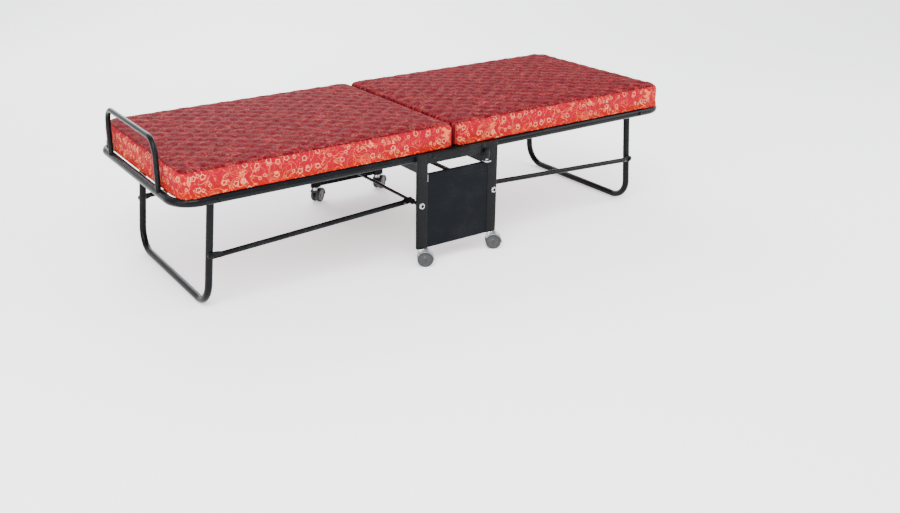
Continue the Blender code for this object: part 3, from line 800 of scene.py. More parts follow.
def weld_bead(name: str, place: np.ndarray, axis: np.ndarray, radius: float,
              host: np.ndarray, host_radius: float, size: float = 1.7 * MM) -> bpy.types.Object:
    """A rippled weld where a round bar meets a round tube.

    The bead's centre line goes round the bar at its radius. It falls back along the bar by
    host_radius - sqrt(host_radius^2 - h^2), where h is the distance to the middle plane of
    the tube, so that it lies on the tube's surface. Its own radius ripples with the angle.

    Args:
        name: the piece's name.
        place: where the bar's axis meets the tube's surface.
        axis: the bar's direction, into the tube.
        radius: the bar's radius.
        host: the tube's direction.
        host_radius: the tube's radius.
        size: the bead's own radius.

    Returns:
        The piece.
    """
    axis = np.asarray(axis, float) / np.linalg.norm(axis)
    host = np.asarray(host, float) / np.linalg.norm(host)
    cross = np.cross(axis, host)
    around = np.linspace(0, 2 * np.pi, 56, endpoint=False)[:, None, None]
    section = np.linspace(0, 2 * np.pi, 10, endpoint=False)[None, :, None]
    own = size * (1 + 0.16 * np.sin(17 * around) + 0.08 * np.sin(5 * around + 1))
    radial = np.cos(around) * host + np.sin(around) * cross
    reach = radius + own * np.cos(section)
    aside = np.clip(radius * np.abs(np.sin(around)), 0, host_radius * 0.98)
    back = np.sqrt(host_radius ** 2 - aside ** 2) - host_radius
    points = np.asarray(place, float) + reach * radial + (own * np.sin(section) - back) * axis
    return as_piece(name, points, grid_faces(56, 10, round_rows=True), sharp=80)


def head_profile(radius: float, height: float, washer: float = 0.0) -> list[tuple[float, float]]:
    """Profile of a domed rivet head, on a washer if one is given, from its foot upward.

    Args:
        radius: the head's radius.
        height: its height.
        washer: the washer's radius, or 0 for none.

    Returns:
        Radius and height pairs.
    """
    dome = [(radius * math.cos(a), height * (0.35 + 0.65 * math.sin(a)))
            for a in np.linspace(0, math.pi / 2, 8)]
    dome[-1] = (0.0, height)
    foot = [(0.0, 0.0), (washer, 0.0), (washer, WASHER_THICKNESS), (radius, WASHER_THICKNESS)] \
        if washer else [(0.0, 0.0), (radius, 0.0)]
    return foot + dome


def head_on(length: float, radius: float, washer: float = 0.0) -> list[tuple[float, float]]:
    """Profile of the domed head at the end of a pin, without the point on its axis.

    Args:
        length: the pin's length with its head.
        radius: the head's radius.
        washer: the washer's radius, or 0 for none.

    Returns:
        Radius and height pairs, heights from the pin's other end.
    """
    return [(r, length - HEAD_HEIGHT + h)
            for r, h in head_profile(radius, HEAD_HEIGHT, washer)[1:]]


# ================================================================ centre stand
@dataclass
class CentreStand:
    """Posts, bars, panels and rods that stay put while the two halves fold."""

    palette: Palette
    corner: float = 3.2 * MM
    edge: float = 0.5 * MM
    thread_pitch: float = 1.25 * MM
    rod_radius: float = 5.0 * MM
    nut_flats: float = 16.0 * MM
    pin: float = 4.0 * MM
    pin_head: float = 8.0 * MM
    pin_tail: float = 2.25 * MM
    bar_entry: float = 1.5 * MM
    panel_band: float = 25.0 * MM
    panel_step: float = 2.0 * MM
    panel_bend: float = 0.9 * MM
    sheet: float = 1.5 * MM
    up: np.ndarray = field(default_factory=lambda: np.array([0.0, 0.0, 1.0]))
    across: np.ndarray = field(default_factory=lambda: np.array([0.0, 1.0, 0.0]))
    along: np.ndarray = field(default_factory=lambda: np.array([1.0, 0.0, 0.0]))

    def build(self) -> None:
        """Build and dress every piece of the stand."""
        for side in Side:
            self.build_side(side)
            for end in End:
                self.build_post(end, side)
                self.build_pivot(end, side)
                self.build_nut(end, side)
        for end in End:
            self.build_cross_member(end)
            self.build_cross_rod(end)
        low, high = corners("tie_rod")
        centre = middle("tie_rod")
        rod = straight("tie_rod_bar", (centre[0], low[1], centre[2]),
                       (centre[0], high[1], centre[2]), high[0] - centre[0])
        self.palette.paint(rod, "stand", "tie_rod")

    def build_post(self, end: End, side: Side) -> None:
        """A post: rectangular tube with round corners, closed by a pressed cap.

        Args:
            end: which end of the cot.
            side: which side of the cot.
        """
        node = f"post_{side.word}_{end.word}"
        low, high = corners(node)
        centre, size = (low + high) / 2, high - low
        outline = rounded_rectangle(size[0], size[1], self.corner)
        post = prism(f"{node}_tube", outline, self.along, self.across,
                     (centre[0], centre[1], low[2]), (centre[0], centre[1], high[2]), self.edge)
        self.palette.paint(post, "stand", node)

    def build_side(self, side: Side) -> None:
        """The top bar and the panel under it, with the seams of weld at the posts.

        Args:
            side: which side of the cot.
        """
        node = f"top_bar_{side.word}"
        low, high = corners(node)
        centre, size = (low + high) / 2, high - low
        outline = rounded_rectangle(size[1], size[2], self.corner * 0.8)
        bar = prism(f"{node}_tube", outline, self.across, self.up,
                    (low[0] - self.bar_entry, centre[1], centre[2]),
                    (high[0] + self.bar_entry, centre[1], centre[2]))
        self.palette.paint(bar, "stand", node)
        for end in End:
            x = high[0] if end is End.FOOT else low[0]
            bead = self.corner_bead(f"{node}_weld_{end.word}", x, centre, size)
            self.palette.paint(bead, "stand")
        self.build_panel(side)

    def corner_bead(self, name: str, x: float, centre: np.ndarray,
                    size: np.ndarray) -> bpy.types.Object:
        """A weld round a rectangular bar: its outline, thickened by a rippling radius.

        Args:
            name: the piece's name.
            x: where the bar meets the post.
            centre: the bar's middle.
            size: the bar's size.

        Returns:
            The bead.
        """
        fine = rounded_rectangle(size[1] - 1.0 * MM, size[2] - 1.0 * MM, self.corner * 0.8, 5)
        closed = np.concatenate([fine, fine[:1]])
        run = np.concatenate([[0], np.cumsum(np.linalg.norm(np.diff(closed, axis=0), axis=1))])
        even = np.linspace(0, run[-1], 64, endpoint=False)
        ring = np.stack([np.interp(even, run, closed[:, i]) for i in (0, 1)], -1)
        outward = np.roll(ring, -1, 0) - np.roll(ring, 1, 0)
        outward = np.stack([outward[:, 1], -outward[:, 0]], -1)
        outward /= np.linalg.norm(outward, axis=1)[:, None]
        angle = np.linspace(0, 2 * np.pi, 8, endpoint=False)
        own = 1.25 * MM * (1 + 0.14 * np.sin(even / (1.6 * MM)))[:, None, None]
        flat = ring[:, None] + own * np.cos(angle)[None, :, None] * outward[:, None]
        points = np.stack([x + (own[..., 0] * np.sin(angle)), centre[1] + flat[..., 0],
                           centre[2] + flat[..., 1]], -1)
        return as_piece(name, points, grid_faces(64, 8, round_rows=True), sharp=80)

    def build_panel(self, side: Side) -> None:
        """The sheet panel: a band folded out at its top and a hem behind it.

        The section is the sheet's middle line with round bends, thickened to both sides.

        Args:
            side: which side of the cot.
        """
        node = f"panel_{side.word}"
        low, high = corners(node)
        out = side.value
        face = high[1] if out > 0 else low[1]
        back = low[1] if out > 0 else high[1]
        half = self.sheet / 2
        top = high[2]
        line = [(face - out * (self.panel_step + half), low[2]),
                (face - out * (self.panel_step + half), top - self.panel_band - 1 * MM),
                (face - out * half, top - self.panel_band + 1 * MM),
                (face - out * half, top - half), (back, top - half)]
        line = self.with_bends([np.array(point) for point in line], self.panel_bend)
        step = np.gradient(line, axis=0)
        normal = np.stack([step[:, 1], -step[:, 0]], -1)
        normal /= np.linalg.norm(normal, axis=1)[:, None]
        section = np.concatenate([line + half * normal, (line - half * normal)[::-1]])
        panel = prism(f"{node}_sheet", section, self.across, self.up, (low[0], 0, 0),
                      (high[0], 0, 0))
        dress(panel, "stand", self.palette.sheet, "black_sheet", node)

    def with_bends(self, line: list[np.ndarray], radius: float) -> np.ndarray:
        """A flat path whose corners are turned at a radius."""
        solid = [np.array([x, y, 0.0]) for x, y in line]
        return bent_path(solid, radius, 4)[:, :2]

    def build_cross_member(self, end: End) -> None:
        """A flat bar between the two sides, with round edges.

        Args:
            end: which end of the cot.
        """
        node = f"cross_member_{end.word}"
        low, high = corners(node)
        centre, size = (low + high) / 2, high - low
        outline = rounded_rectangle(size[0], size[2], 1.6 * MM)
        bar = prism(f"{node}_bar", outline, self.along, self.up, (centre[0], low[1], centre[2]),
                    (centre[0], high[1], centre[2]))
        self.palette.paint(bar, "stand", node)

    def build_cross_rod(self, end: End) -> None:
        """The rod that carries the links, with a thread cut on both tips.

        Args:
            end: which end of the cot.
        """
        node = f"cross_rod_{end.word}"
        low, high = corners(node)
        centre = (low + high) / 2
        radius, pitch, reach = self.rod_radius, self.thread_pitch, high[1]
        root = radius - 0.6 * pitch
        turns = int(10 * MM / pitch)
        crest = reach - 0.8 * MM - np.arange(turns) * pitch
        thread = np.stack([np.tile([radius * 0.985, root], turns),
                           np.stack([crest, crest - pitch / 2], -1).ravel()], -1)
        half = np.concatenate([[[0, reach], [root * 0.96, reach]], thread,
                               [[radius, thread[-1, 1] - 0.4 * MM]]])
        profile = np.concatenate([half, half[::-1] * (1, -1)])
        rod = turned(f"{node}_bar", profile, (centre[0], 0, centre[2]), self.across, 36)
        self.palette.paint(rod, "stand", node)

    def build_nut(self, end: End, side: Side) -> None:
        """A hexagon nut with turned-down corners on a washer.

        A hexagon's radius at an angle is half its flats over cos(angle to the nearest flat).
        Near both faces it is cut down to the radius of the chamfer's cone.

        Args:
            end: which end of the cot.
            side: which side of the cot.
        """
        node = f"rod_nut_{side.word}_{end.word}"
        low, high = corners(node)
        centre = (low + high) / 2
        thick = high[1] - low[1]
        steps = 96
        angle = np.linspace(0, 2 * np.pi, steps, endpoint=False)
        off_flat = (angle + np.pi / 6) % (np.pi / 3) - np.pi / 6
        hexagon = self.nut_flats / 2 / np.cos(off_flat)
        flat = self.nut_flats / 2
        hole = self.rod_radius + 0.05 * MM
        rows = [(hole, 0.0), (flat * 1.12, 0.0), (flat * 1.12, 0.9 * MM), (flat * 0.94, 0.9 * MM),
                (flat * 0.99, 1.0 * MM), (flat * 1.16, 1.9 * MM), (flat * 1.16, thick - 0.9 * MM),
                (flat * 0.96, thick), (hole + 0.7 * MM, thick), (hole, thick - 0.7 * MM)]
        limit, height = np.array(rows).T
        radius = np.minimum(limit[:, None], hexagon)
        radius[:3] = limit[:3, None]
        u, v, _ = basis_of(self.across)
        out = side.value
        inner = centre[1] - out * thick / 2
        points = (np.array([centre[0], inner, centre[2]])
                  + radius[..., None] * (np.cos(angle)[:, None] * u + np.sin(angle)[:, None] * v)
                  + out * height[:, None, None] * self.across)
        nut = as_piece(f"{node}_hexagon", points, grid_faces(len(rows), steps, round_rows=True), 28)
        dress(nut, "stand", self.palette.plating, "bright_steel", node)

    def build_pivot(self, end: End, side: Side) -> None:
        """The fold pivot's domed head outside the bar, its pin, and its peened tail inside.

        Args:
            end: which end of the cot.
            side: which side of the cot.
        """
        node = f"pivot_pin_{side.word}_{end.word}"
        low, high = corners(node)
        centre = (low + high) / 2
        outer, inner = (high[1], low[1]) if side is Side.FAR else (low[1], high[1])
        out = side.value
        length = abs(outer - inner)
        radius = self.pin_head
        tail = self.pin_tail
        profile = [(0, 0), (radius * 0.75, 0), (radius, tail * 0.6), (radius, tail),
                   (self.pin, tail), (self.pin, length - HEAD_HEIGHT), *head_on(length, radius)]
        pin = turned(f"{node}_rivet", profile, (centre[0], inner, centre[2]), self.across * out)
        self.palette.paint(pin, "stand", node)


@dataclass
class LockPlunger:
    """The sprung plunger outside the near bar: sleeve, pin and the flanged knob under it."""

    palette: Palette
    wall: float = 3.6 * MM
    collar: float = 2.4 * MM

    def build(self) -> None:
        """Build and dress the sleeve and the plunger."""
        low, high = corners("lock_sleeve")
        centre, radius = (low + high) / 2, (high[0] - low[0]) / 2
        height = high[2] - low[2]
        bore = radius - self.wall
        profile = [(bore, 0), (radius - 0.8 * MM, 0), (radius, 0.8 * MM),
                   (radius, height - self.collar),
                   (radius - 0.9 * MM, height - self.collar + 0.4 * MM),
                   (radius - 0.9 * MM, height - 0.8 * MM), (radius - 1.7 * MM, height),
                   (bore, height)]
        sleeve = turned("lock_sleeve_barrel", profile, (centre[0], centre[1], low[2]), (0, 0, 1),
                        44, ring=True)
        self.palette.paint(sleeve, "stand", "lock_sleeve")
        low, high = corners("lock_plunger")
        radius = (high[0] - low[0]) / 2
        top = high[2] - low[2]
        knob = [(0, 0), (radius - 1.2 * MM, 0), (radius - 0.3 * MM, 0.4 * MM), (radius, 1.2 * MM),
                (radius, 2.4 * MM), (radius - 0.5 * MM, 3.2 * MM), (radius * 0.72, 4.0 * MM),
                (5.2 * MM, 4.0 * MM), (4.3 * MM, 4.6 * MM), (3.9 * MM, 6.0 * MM),
                (3.9 * MM, top - 1 * MM), (3.0 * MM, top), (0, top)]
        plunger = turned("lock_plunger_knob", knob, (centre[0], centre[1], low[2]), (0, 0, 1), 48)
        dress(plunger, "lock_plunger", self.palette.plating, "bright_steel", "lock_plunger")


# ================================================================ casters
@dataclass
class TwinCaster:
    """A twin-wheel caster: hooded body with web and stem, two wheels with tyres and hubs."""

    palette: Palette
    end: End
    side: Side
    heading: float = 32.0
    trail: float = 12.0 * MM
    wheel: float = 25.0 * MM
    gap: float = 5.0 * MM
    width: float = 12.0 * MM
    clearance: float = 1.5 * MM
    wall: float = 1.5 * MM
    cheek: float = 3.0 * MM
    web: float = 6.0 * MM
    neck_radius: float = 9.0 * MM
    stem_radius: float = 4.0 * MM

    def build(self) -> None:
        """Build and dress the body and the wheels."""
        label = f"caster_{self.side.word}_{self.end.word}"
        turn = math.radians(self.side.value * self.heading)
        self.ahead = np.array([math.cos(turn), math.sin(turn), 0.0])
        self.aside = np.array([-math.sin(turn), math.cos(turn), 0.0])
        self.up = np.array([0.0, 0.0, 1.0])
        self.hub = middle(f"{label}_wheels")
        self.stem = self.hub - self.ahead * self.trail
        # painted shade: the far casters stand in shadow, so they get black plastic in place of the
        # near ones' smoke hood and grey discs
        near = self.side is Side.NEAR
        self.build_body(label, self.palette.smoke_plastic if near else self.palette.black_plastic)
        self.build_wheels(label, self.palette.grey_plastic if near else self.palette.black_plastic)

    def at(self, angle: np.ndarray, radius: np.ndarray, aside: np.ndarray) -> np.ndarray:
        """Points round the hub: radius at an angle up from straight ahead, and sideways.

        Args:
            angle: angles up from straight ahead.
            radius: distances from the axle.
            aside: distances along the axle.

        Returns:
            The points.
        """
        angle, radius, aside = (np.asarray(v, float)[..., None] for v in (angle, radius, aside))
        return (self.hub + radius * (np.cos(angle) * self.ahead + np.sin(angle) * self.up)
                + aside * self.aside)

    def build_body(self, label: str, plastic: bpy.types.Material) -> None:
        """The hood, the web between the wheels, the neck and the stem.

        The hood's section is a thin loop across the wheels, whose cheeks drop by a quarter
        circle, carried round the hub and tapered a little at both tips.

        Args:
            label: the caster's name.
            plastic: the hood's finish.
        """
        outer = self.wheel + self.clearance + self.wall + 0.3 * MM
        half = self.gap + self.width + 1.0 * MM
        across = half * np.sin(np.linspace(-np.pi / 2, np.pi / 2, 25))
        over = np.clip(np.abs(across) - (half - self.cheek), 0, self.cheek)
        drop = self.cheek - np.sqrt(np.maximum(self.cheek ** 2 - over ** 2, 0))
        top = outer - 0.6 * drop
        loop_across = np.concatenate([across, across[::-1] * (1 - 0.9 * MM / half)])
        loop_radius = np.concatenate([top, top[::-1] - self.wall])
        angle = np.radians(np.linspace(-8, 150, 34))
        loops = self.at(angle[:, None], loop_radius[None] + 0 * angle[:, None],
                        loop_across[None] + 0 * angle[:, None])
        hood = lofted(f"{label}_hood", loops, 40)
        dress(hood, label, plastic, "dark_plastic", f"{label}_body")

        span = np.radians(np.concatenate([np.linspace(-6, 148, 24), np.linspace(190, 320, 9)]))
        reach = np.concatenate([np.full(24, outer - self.wall * 0.8), np.full(9, 7.8 * MM)])
        rim = np.stack([reach * np.cos(span), reach * np.sin(span)], -1)
        middle_hub = self.hub - self.aside * self.web / 2
        web = prism(f"{label}_web", rim, self.ahead, self.up, middle_hub,
                    middle_hub + self.aside * self.web, 0.7 * MM)
        dress(web, label, self.palette.black_plastic, "dark_plastic")

        stem_top = corners(f"{label}_body")[1][2]
        post_foot = corners(f"post_{self.side.word}_{self.end.word}")[0][2]
        neck_foot = self.hub[2] + math.sqrt((outer - self.wall) ** 2 - self.trail ** 2) - 2.0 * MM
        neck = post_foot - 0.3 * MM - neck_foot
        profile = [(0, 0), (10.5 * MM, 0), (10.0 * MM, 2 * MM), (self.neck_radius, 3.2 * MM),
                   (self.neck_radius, neck - 0.8 * MM), (8.2 * MM, neck),
                   (self.stem_radius, neck),
                   (self.stem_radius, stem_top - neck_foot - 1 * MM),
                   (3.2 * MM, stem_top - neck_foot), (0, stem_top - neck_foot)]
        neck_piece = turned(f"{label}_neck", profile, (self.stem[0], self.stem[1], neck_foot),
                            (0, 0, 1), 36)
        dress(neck_piece, label, self.palette.plating, "dark_plastic")

    def build_wheels(self, label: str, plastic: bpy.types.Material) -> None:
        """Two discs with a dished face, the tyres round them and the hub caps.

        Each is a ring profile turned round the axle: (radius, distance from the middle).

        Args:
            label: the caster's name.
            plastic: the discs' finish.
        """
        r, g, w = self.wheel, self.gap, self.width
        tyre = [(r * 0.80, g + 0.6 * MM), (r - 2.0 * MM, g), (r - 0.6 * MM, g + 0.6 * MM),
                (r, g + 2.2 * MM), (r, g + w - 3.0 * MM), (r - 0.7 * MM, g + w - 1.6 * MM),
                (r - 2.2 * MM, g + w - 1.0 * MM), (r * 0.80, g + w - 1.0 * MM)]
        disc = [(3.1 * MM, g + 0.4 * MM), (r * 0.81, g + 0.4 * MM), (r * 0.81, g + w - 0.6 * MM),
                (r * 0.77, g + w - 0.1 * MM), (r * 0.70, g + w - 0.1 * MM),
                (r * 0.66, g + w - 1.3 * MM), (r * 0.38, g + w - 1.7 * MM),
                (r * 0.32, g + w - 0.4 * MM), (3.1 * MM, g + w - 0.4 * MM)]
        cap = [(0, g + w), (r * 0.16, g + w), (r * 0.24, g + w - 0.4 * MM),
               (r * 0.25, g + w - 1.0 * MM), (0, g + w - 1.0 * MM)]
        body = f"{label}_wheels"
        for word, profile, ring, finish, slot in (
                ("discs", disc, True, plastic, "grey_rubber"),
                ("tyres", tyre, True, self.palette.tyre, "grey_rubber"),
                ("hub_caps", cap, False, self.palette.black_plastic, "dark_plastic")):
            pair = [turned("half", profile, self.hub, way * self.aside, 64, ring)
                    for way in (1, -1)]
            axle = [straight("axle", self.hub - self.aside * (g + w - 1 * MM),
                             self.hub + self.aside * (g + w - 1 * MM), 2.9 * MM)] \
                if word == "hub_caps" else []
            piece = joined(f"{label}_{word}", pair + axle)
            dress(piece, body, finish, slot, *([f"{label}_wheels"] if word == "tyres" else []))


# ================================================================ half frames
@dataclass
class HalfFrame:
    """One folding half: the U tube, its two cross tubes, and the guard at the head."""

    palette: Palette
    end: End
    rail_radius: float = 12.5 * MM
    corner: float = 70.0 * MM
    guard_radius: float = 8.0 * MM
    guard_corner: float = 45.0 * MM
    cross_bar_radius: float = 10.0 * MM
    plug: float = 2.0 * MM

    def build(self) -> None:
        """Build and dress the tubes of this half."""
        word, way = self.end.word, self.end.value
        self.body = f"{word}_half"
        low, high = corners(f"{word}_frame_tube")
        radius = self.rail_radius
        self.rail_y, self.rail_z = high[1] - radius, (low[2] + high[2]) / 2
        outer = high[0] - radius if way > 0 else low[0] + radius
        inner = low[0] if way > 0 else high[0]
        path = bent_path([(inner, -self.rail_y, self.rail_z), (outer, -self.rail_y, self.rail_z),
                          (outer, self.rail_y, self.rail_z), (inner, self.rail_y, self.rail_z)],
                         self.corner, 20)
        tube = swept(f"{word}_rail", path, radius, (0, 0, 1), sides=36)
        self.finish(tube, f"{word}_frame_tube")
        for side in Side:
            plug = turned(f"{word}_rail_plug_{side.word}",
                          [(0, 0), (radius * 0.55, 0.1 * MM), (radius * 0.86, 0.7 * MM),
                           (radius * 0.97, self.plug), (radius * 0.97, self.plug + 1.5 * MM),
                           (0, self.plug + 1.5 * MM)],
                          (inner - way * self.plug * 0.6, side.value * self.rail_y, self.rail_z),
                          (way, 0, 0), 36)
            dress(plug, self.body, self.palette.black_plastic, "black_enamel")
        self.build_bar(f"{word}_inner_tube", radius)
        self.build_bar(f"{word}_cross_bar", self.cross_bar_radius)
        if self.end is End.HEAD:
            self.build_guard(outer)

    def finish(self, piece: bpy.types.Object, *nodes: str) -> None:
        """Give a piece of this half its enamel and its body."""
        self.palette.paint(piece, self.body, *nodes)

    def build_bar(self, node: str, radius: float) -> None:
        """A bar between the rails, run into them and welded round.

        Args:
            node: the node that the bar stands for.
            radius: the bar's radius.
        """
        x, _, z = middle(node)
        bar = straight(f"{node}_bar", (x, -self.rail_y, z), (x, self.rail_y, z), radius)
        self.finish(bar, node)
        for side in Side:
            face = side.value * (self.rail_y - self.rail_radius)
            bead = weld_bead(f"{node}_weld_{side.word}", np.array([x, face, z]),
                             (0, side.value, 0), radius, (1, 0, 0), self.rail_radius + 1.0 * MM)
            self.finish(bead)

    def build_guard(self, outer: float) -> None:
        """The low guard rail, its feet let into the end bar and welded round.

        Args:
            outer: x of the end bar's middle.
        """
        low, high = corners("head_guard")
        radius = self.guard_radius
        x, y = middle("head_guard")[0], high[1] - radius
        foot, top = self.rail_z + self.rail_radius * 0.5, high[2] - radius
        path = bent_path([(x, -y, foot), (x, -y, top), (x, y, top), (x, y, foot)],
                         self.guard_corner, 20)
        self.finish(swept("head_guard_tube", path, radius, (1, 0, 0), sides=32), "head_guard")
        for side in Side:
            place = np.array([x, side.value * y, self.rail_z + self.rail_radius])
            bead = weld_bead(f"head_guard_weld_{side.word}", place, (0, 0, -1), radius, (0, 1, 0),
                             self.rail_radius + 1.0 * MM)
            self.finish(bead)


@dataclass
class SwingLeg:
    """One U-bent leg on its axle, with the two bolts that hang it from the rails."""

    palette: Palette
    end: End
    radius: float = 11.0 * MM
    corner: float = 70.0 * MM
    pin: float = 4.0 * MM

    def build(self) -> None:
        """Build and dress the leg, the axle and the bolts."""
        word = self.end.word
        body = f"{word}_leg"
        low, high = corners(f"{word}_leg_tube")
        hinge = middle(f"{word}_leg_axle")
        side_y = high[1] - self.radius
        foot_x = (high[0] - self.radius) if self.end is End.FOOT else (low[0] + self.radius)
        foot = np.array([foot_x, 0.0, self.radius])
        down = foot - np.array([hinge[0], 0.0, hinge[2]])
        length = np.linalg.norm(down)
        down /= length
        start = np.array([hinge[0], 0, hinge[2]]) + down * self.radius * 0.6
        aside = np.array([0.0, side_y, 0.0])
        path = bent_path([start - aside, foot - aside, foot + aside, start + aside],
                         self.corner, 20)
        tube = swept(f"{word}_leg_loop", path, self.radius, np.cross((0, 1, 0), down), sides=32)
        self.palette.paint(tube, body, f"{word}_leg_tube")

        low, high = corners(f"{word}_leg_axle")
        axle = straight(f"{word}_leg_axle_tube", (hinge[0], low[1], hinge[2]),
                        (hinge[0], high[1], hinge[2]), self.radius)
        self.palette.paint(axle, body, f"{word}_leg_axle")
        for side in Side:
            place = np.array([hinge[0], side.value * side_y, hinge[2]]) + down * self.radius
            bead = weld_bead(f"{word}_leg_weld_{side.word}", place, -down, self.radius, (0, 1, 0),
                             self.radius + 0.8 * MM)
            self.palette.paint(bead, body)
            self.build_bolt(f"{word}_leg_bolt_{side.word}", body, side)

    def build_bolt(self, node: str, body: str, side: Side) -> None:
        """A bolt through the rail: its shank and the domed head on a washer.

        Args:
            node: the node that the bolt stands for.
            body: the body it rides on.
            side: which side of the cot.
        """
        low, high = corners(node)
        centre = (low + high) / 2
        inner, outer = (low[1], high[1]) if side is Side.FAR else (high[1], low[1])
        length = abs(outer - inner)
        profile = [(0, 0), (self.pin * 0.8, 0), (self.pin, 0.8 * MM),
                   (self.pin, length - HEAD_HEIGHT), *head_on(length, BOLT_HEAD, BOLT_WASHER)]
        bolt = turned(f"{node}_shank", profile, (centre[0], inner, centre[2]), (0, side.value, 0))
        self.palette.paint(bolt, body, node)


@dataclass
class SideLink:
    """A round link flattened at both ends, with its bush on the cross rod and its bolt."""

    palette: Palette
    end: End
    side: Side
    tube: float = 8.0 * MM
    tab: float = 2.5 * MM
    eye: float = 10.4 * MM
    tab_shift: float = 4.9 * MM
    flat: float = 13.0 * MM
    round_from: float = 34.0 * MM
    pin: float = 4.0 * MM
    y: float = 0.289

    def build(self) -> None:
        """Build and dress the link, its bush and its bolt."""
        label = f"{self.end.word}_link_{self.side.word}"
        rod = middle(f"cross_rod_{self.end.word}")
        bolt = middle(f"{label}_bolt")
        y = self.side.value * self.y
        start, finish = np.array([rod[0], y, rod[2]]), np.array([bolt[0], y, bolt[2]])
        link = self.flattened(f"{label}_bar", start, finish)
        self.palette.paint(link, label, label)

        tab_face = self.y - self.tab_shift + self.tab
        ring = [(5.3 * MM, 0), (8.4 * MM, 0), (9.0 * MM, 0.6 * MM), (9.0 * MM, 15.4 * MM),
                (8.4 * MM, 16.0 * MM), (5.3 * MM, 16.0 * MM)]
        bush = turned(f"{label}_bush", ring,
                      (rod[0], self.side.value * (tab_face - 1 * MM), rod[2]),
                      (0, self.side.value, 0), 36, ring=True)
        self.palette.paint(bush, label)

        low, high = corners(f"{label}_bolt")
        inner = low[1] if self.side is Side.FAR else high[1]
        length = high[1] - low[1]
        profile = [(0, 0), (self.pin, 0), (self.pin, length - HEAD_HEIGHT),
                   *head_on(length, BOLT_HEAD, BOLT_WASHER)]
        piece = turned(f"{label}_bolt_head", profile, (bolt[0], inner, bolt[2]),
                       (0, self.side.value, 0))
        self.palette.paint(piece, label, f"{label}_bolt")

    def flattened(self, name: str, start: np.ndarray, finish: np.ndarray) -> bpy.types.Object:
        """The link's own surface.

        A section at a distance s from an eye is a superellipse |a/w|^n + |b/t|^n = 1, whose
        half width w, half thickness t, exponent n and sideways shift go smoothly from the
        flat tab's to the tube's. Before the eye's middle, w is sqrt(eye^2 - s^2).

        Args:
            name: the piece's name.
            start: the first eye's middle.
            finish: the other eye's middle.

        Returns:
            The link.
        """
        run = finish - start
        length = np.linalg.norm(run)
        run /= length
        wide = np.cross(run, (0, 1, 0))
        half = np.concatenate([-self.eye * np.cos(np.linspace(0.03, np.pi / 2, 12)),
                               np.linspace(2 * MM, 60 * MM, 26)])
        s = np.concatenate([half, np.linspace(80 * MM, length - 80 * MM, 6),
                            (length - half)[::-1]])
        near = np.minimum(s, length - s)
        share = np.clip((near - self.flat) / (self.round_from - self.flat), 0, 1)
        share = share * share * (3 - 2 * share)
        width = self.eye + (self.tube - self.eye) * share
        width = np.where(near < 0, np.sqrt(np.maximum(self.eye ** 2 - near ** 2, 0)), width)
        thick = self.tab + (self.tube - self.tab) * share
        power = 2 / (5.0 + (2.0 - 5.0) * share)
        shift = -self.side.value * self.tab_shift * (1 - share)
        angle = np.linspace(0, 2 * np.pi, 32, endpoint=False)
        c, d = np.cos(angle), np.sin(angle)
        a = width[:, None] * np.sign(c) * np.abs(c) ** power[:, None]
        b = thick[:, None] * np.sign(d) * np.abs(d) ** power[:, None] + shift[:, None]
        points = start + s[:, None, None] * run + a[..., None] * wide \
            + b[..., None] * np.array([0.0, 1.0, 0.0])
        return lofted(name, points, 50)


# ================================================================ mattress
def mesh_points(mesh: bpy.types.Mesh) -> np.ndarray:
    """The points of a mesh.

    Args:
        mesh: the mesh.

    Returns:
        An array of three numbers a point.
    """
    flat = np.empty(len(mesh.vertices) * 3, np.float32)
    mesh.vertices.foreach_get("co", flat)
    return flat.reshape(-1, 3).astype(float)


def mesh_normals(mesh: bpy.types.Mesh) -> np.ndarray:
    """The normals at the points of a mesh.

    Args:
        mesh: the mesh.

    Returns:
        An array of three numbers a point.
    """
    flat = np.empty(len(mesh.vertices) * 3, np.float32)
    mesh.vertex_normals.foreach_get("vector", flat)
    return flat.reshape(-1, 3).astype(float)


def baked(piece: bpy.types.Object) -> None:
    """Apply a piece's modifiers to its mesh.

    Args:
        piece: the piece, which keeps no modifier.
    """
    evaluated = piece.evaluated_get(bpy.context.evaluated_depsgraph_get())
    mesh = bpy.data.meshes.new_from_object(evaluated)
    piece.modifiers.clear()
    old, piece.data = piece.data, mesh
    bpy.data.meshes.remove(old)


def away_from_outline(points: np.ndarray, outline: np.ndarray,
                      closed: bool = True) -> tuple[np.ndarray, np.ndarray, np.ndarray]:
    """Distance of points to an outline, and the nearest place on it.

    Args:
        points: (x, y) pairs.
        outline: (x, y) pairs of the outline.
        closed: whether the outline's last pair joins its first.

    Returns:
        The distances, the runs along the outline to the nearest places, and the places.
    """
    step = (np.roll(outline, -1, 0) - outline)[:None if closed else -1]
    size = np.linalg.norm(step, axis=1)
    before = np.concatenate([[0], np.cumsum(size)[:-1]])
    best, run, place = np.full(len(points), np.inf), np.zeros(len(points)), points.copy()
    for corner, edge, long, start in zip(outline, step, size, before):
        share = np.clip((points - corner) @ edge / long ** 2, 0, 1)
        foot = corner + share[:, None] * edge
        gap = np.linalg.norm(points - foot, axis=1)
        nearer = gap < best
        best = np.where(nearer, gap, best)
        run = np.where(nearer, start + share * long, run)
        place = np.where(nearer[:, None], foot, place)
    return best, run, place


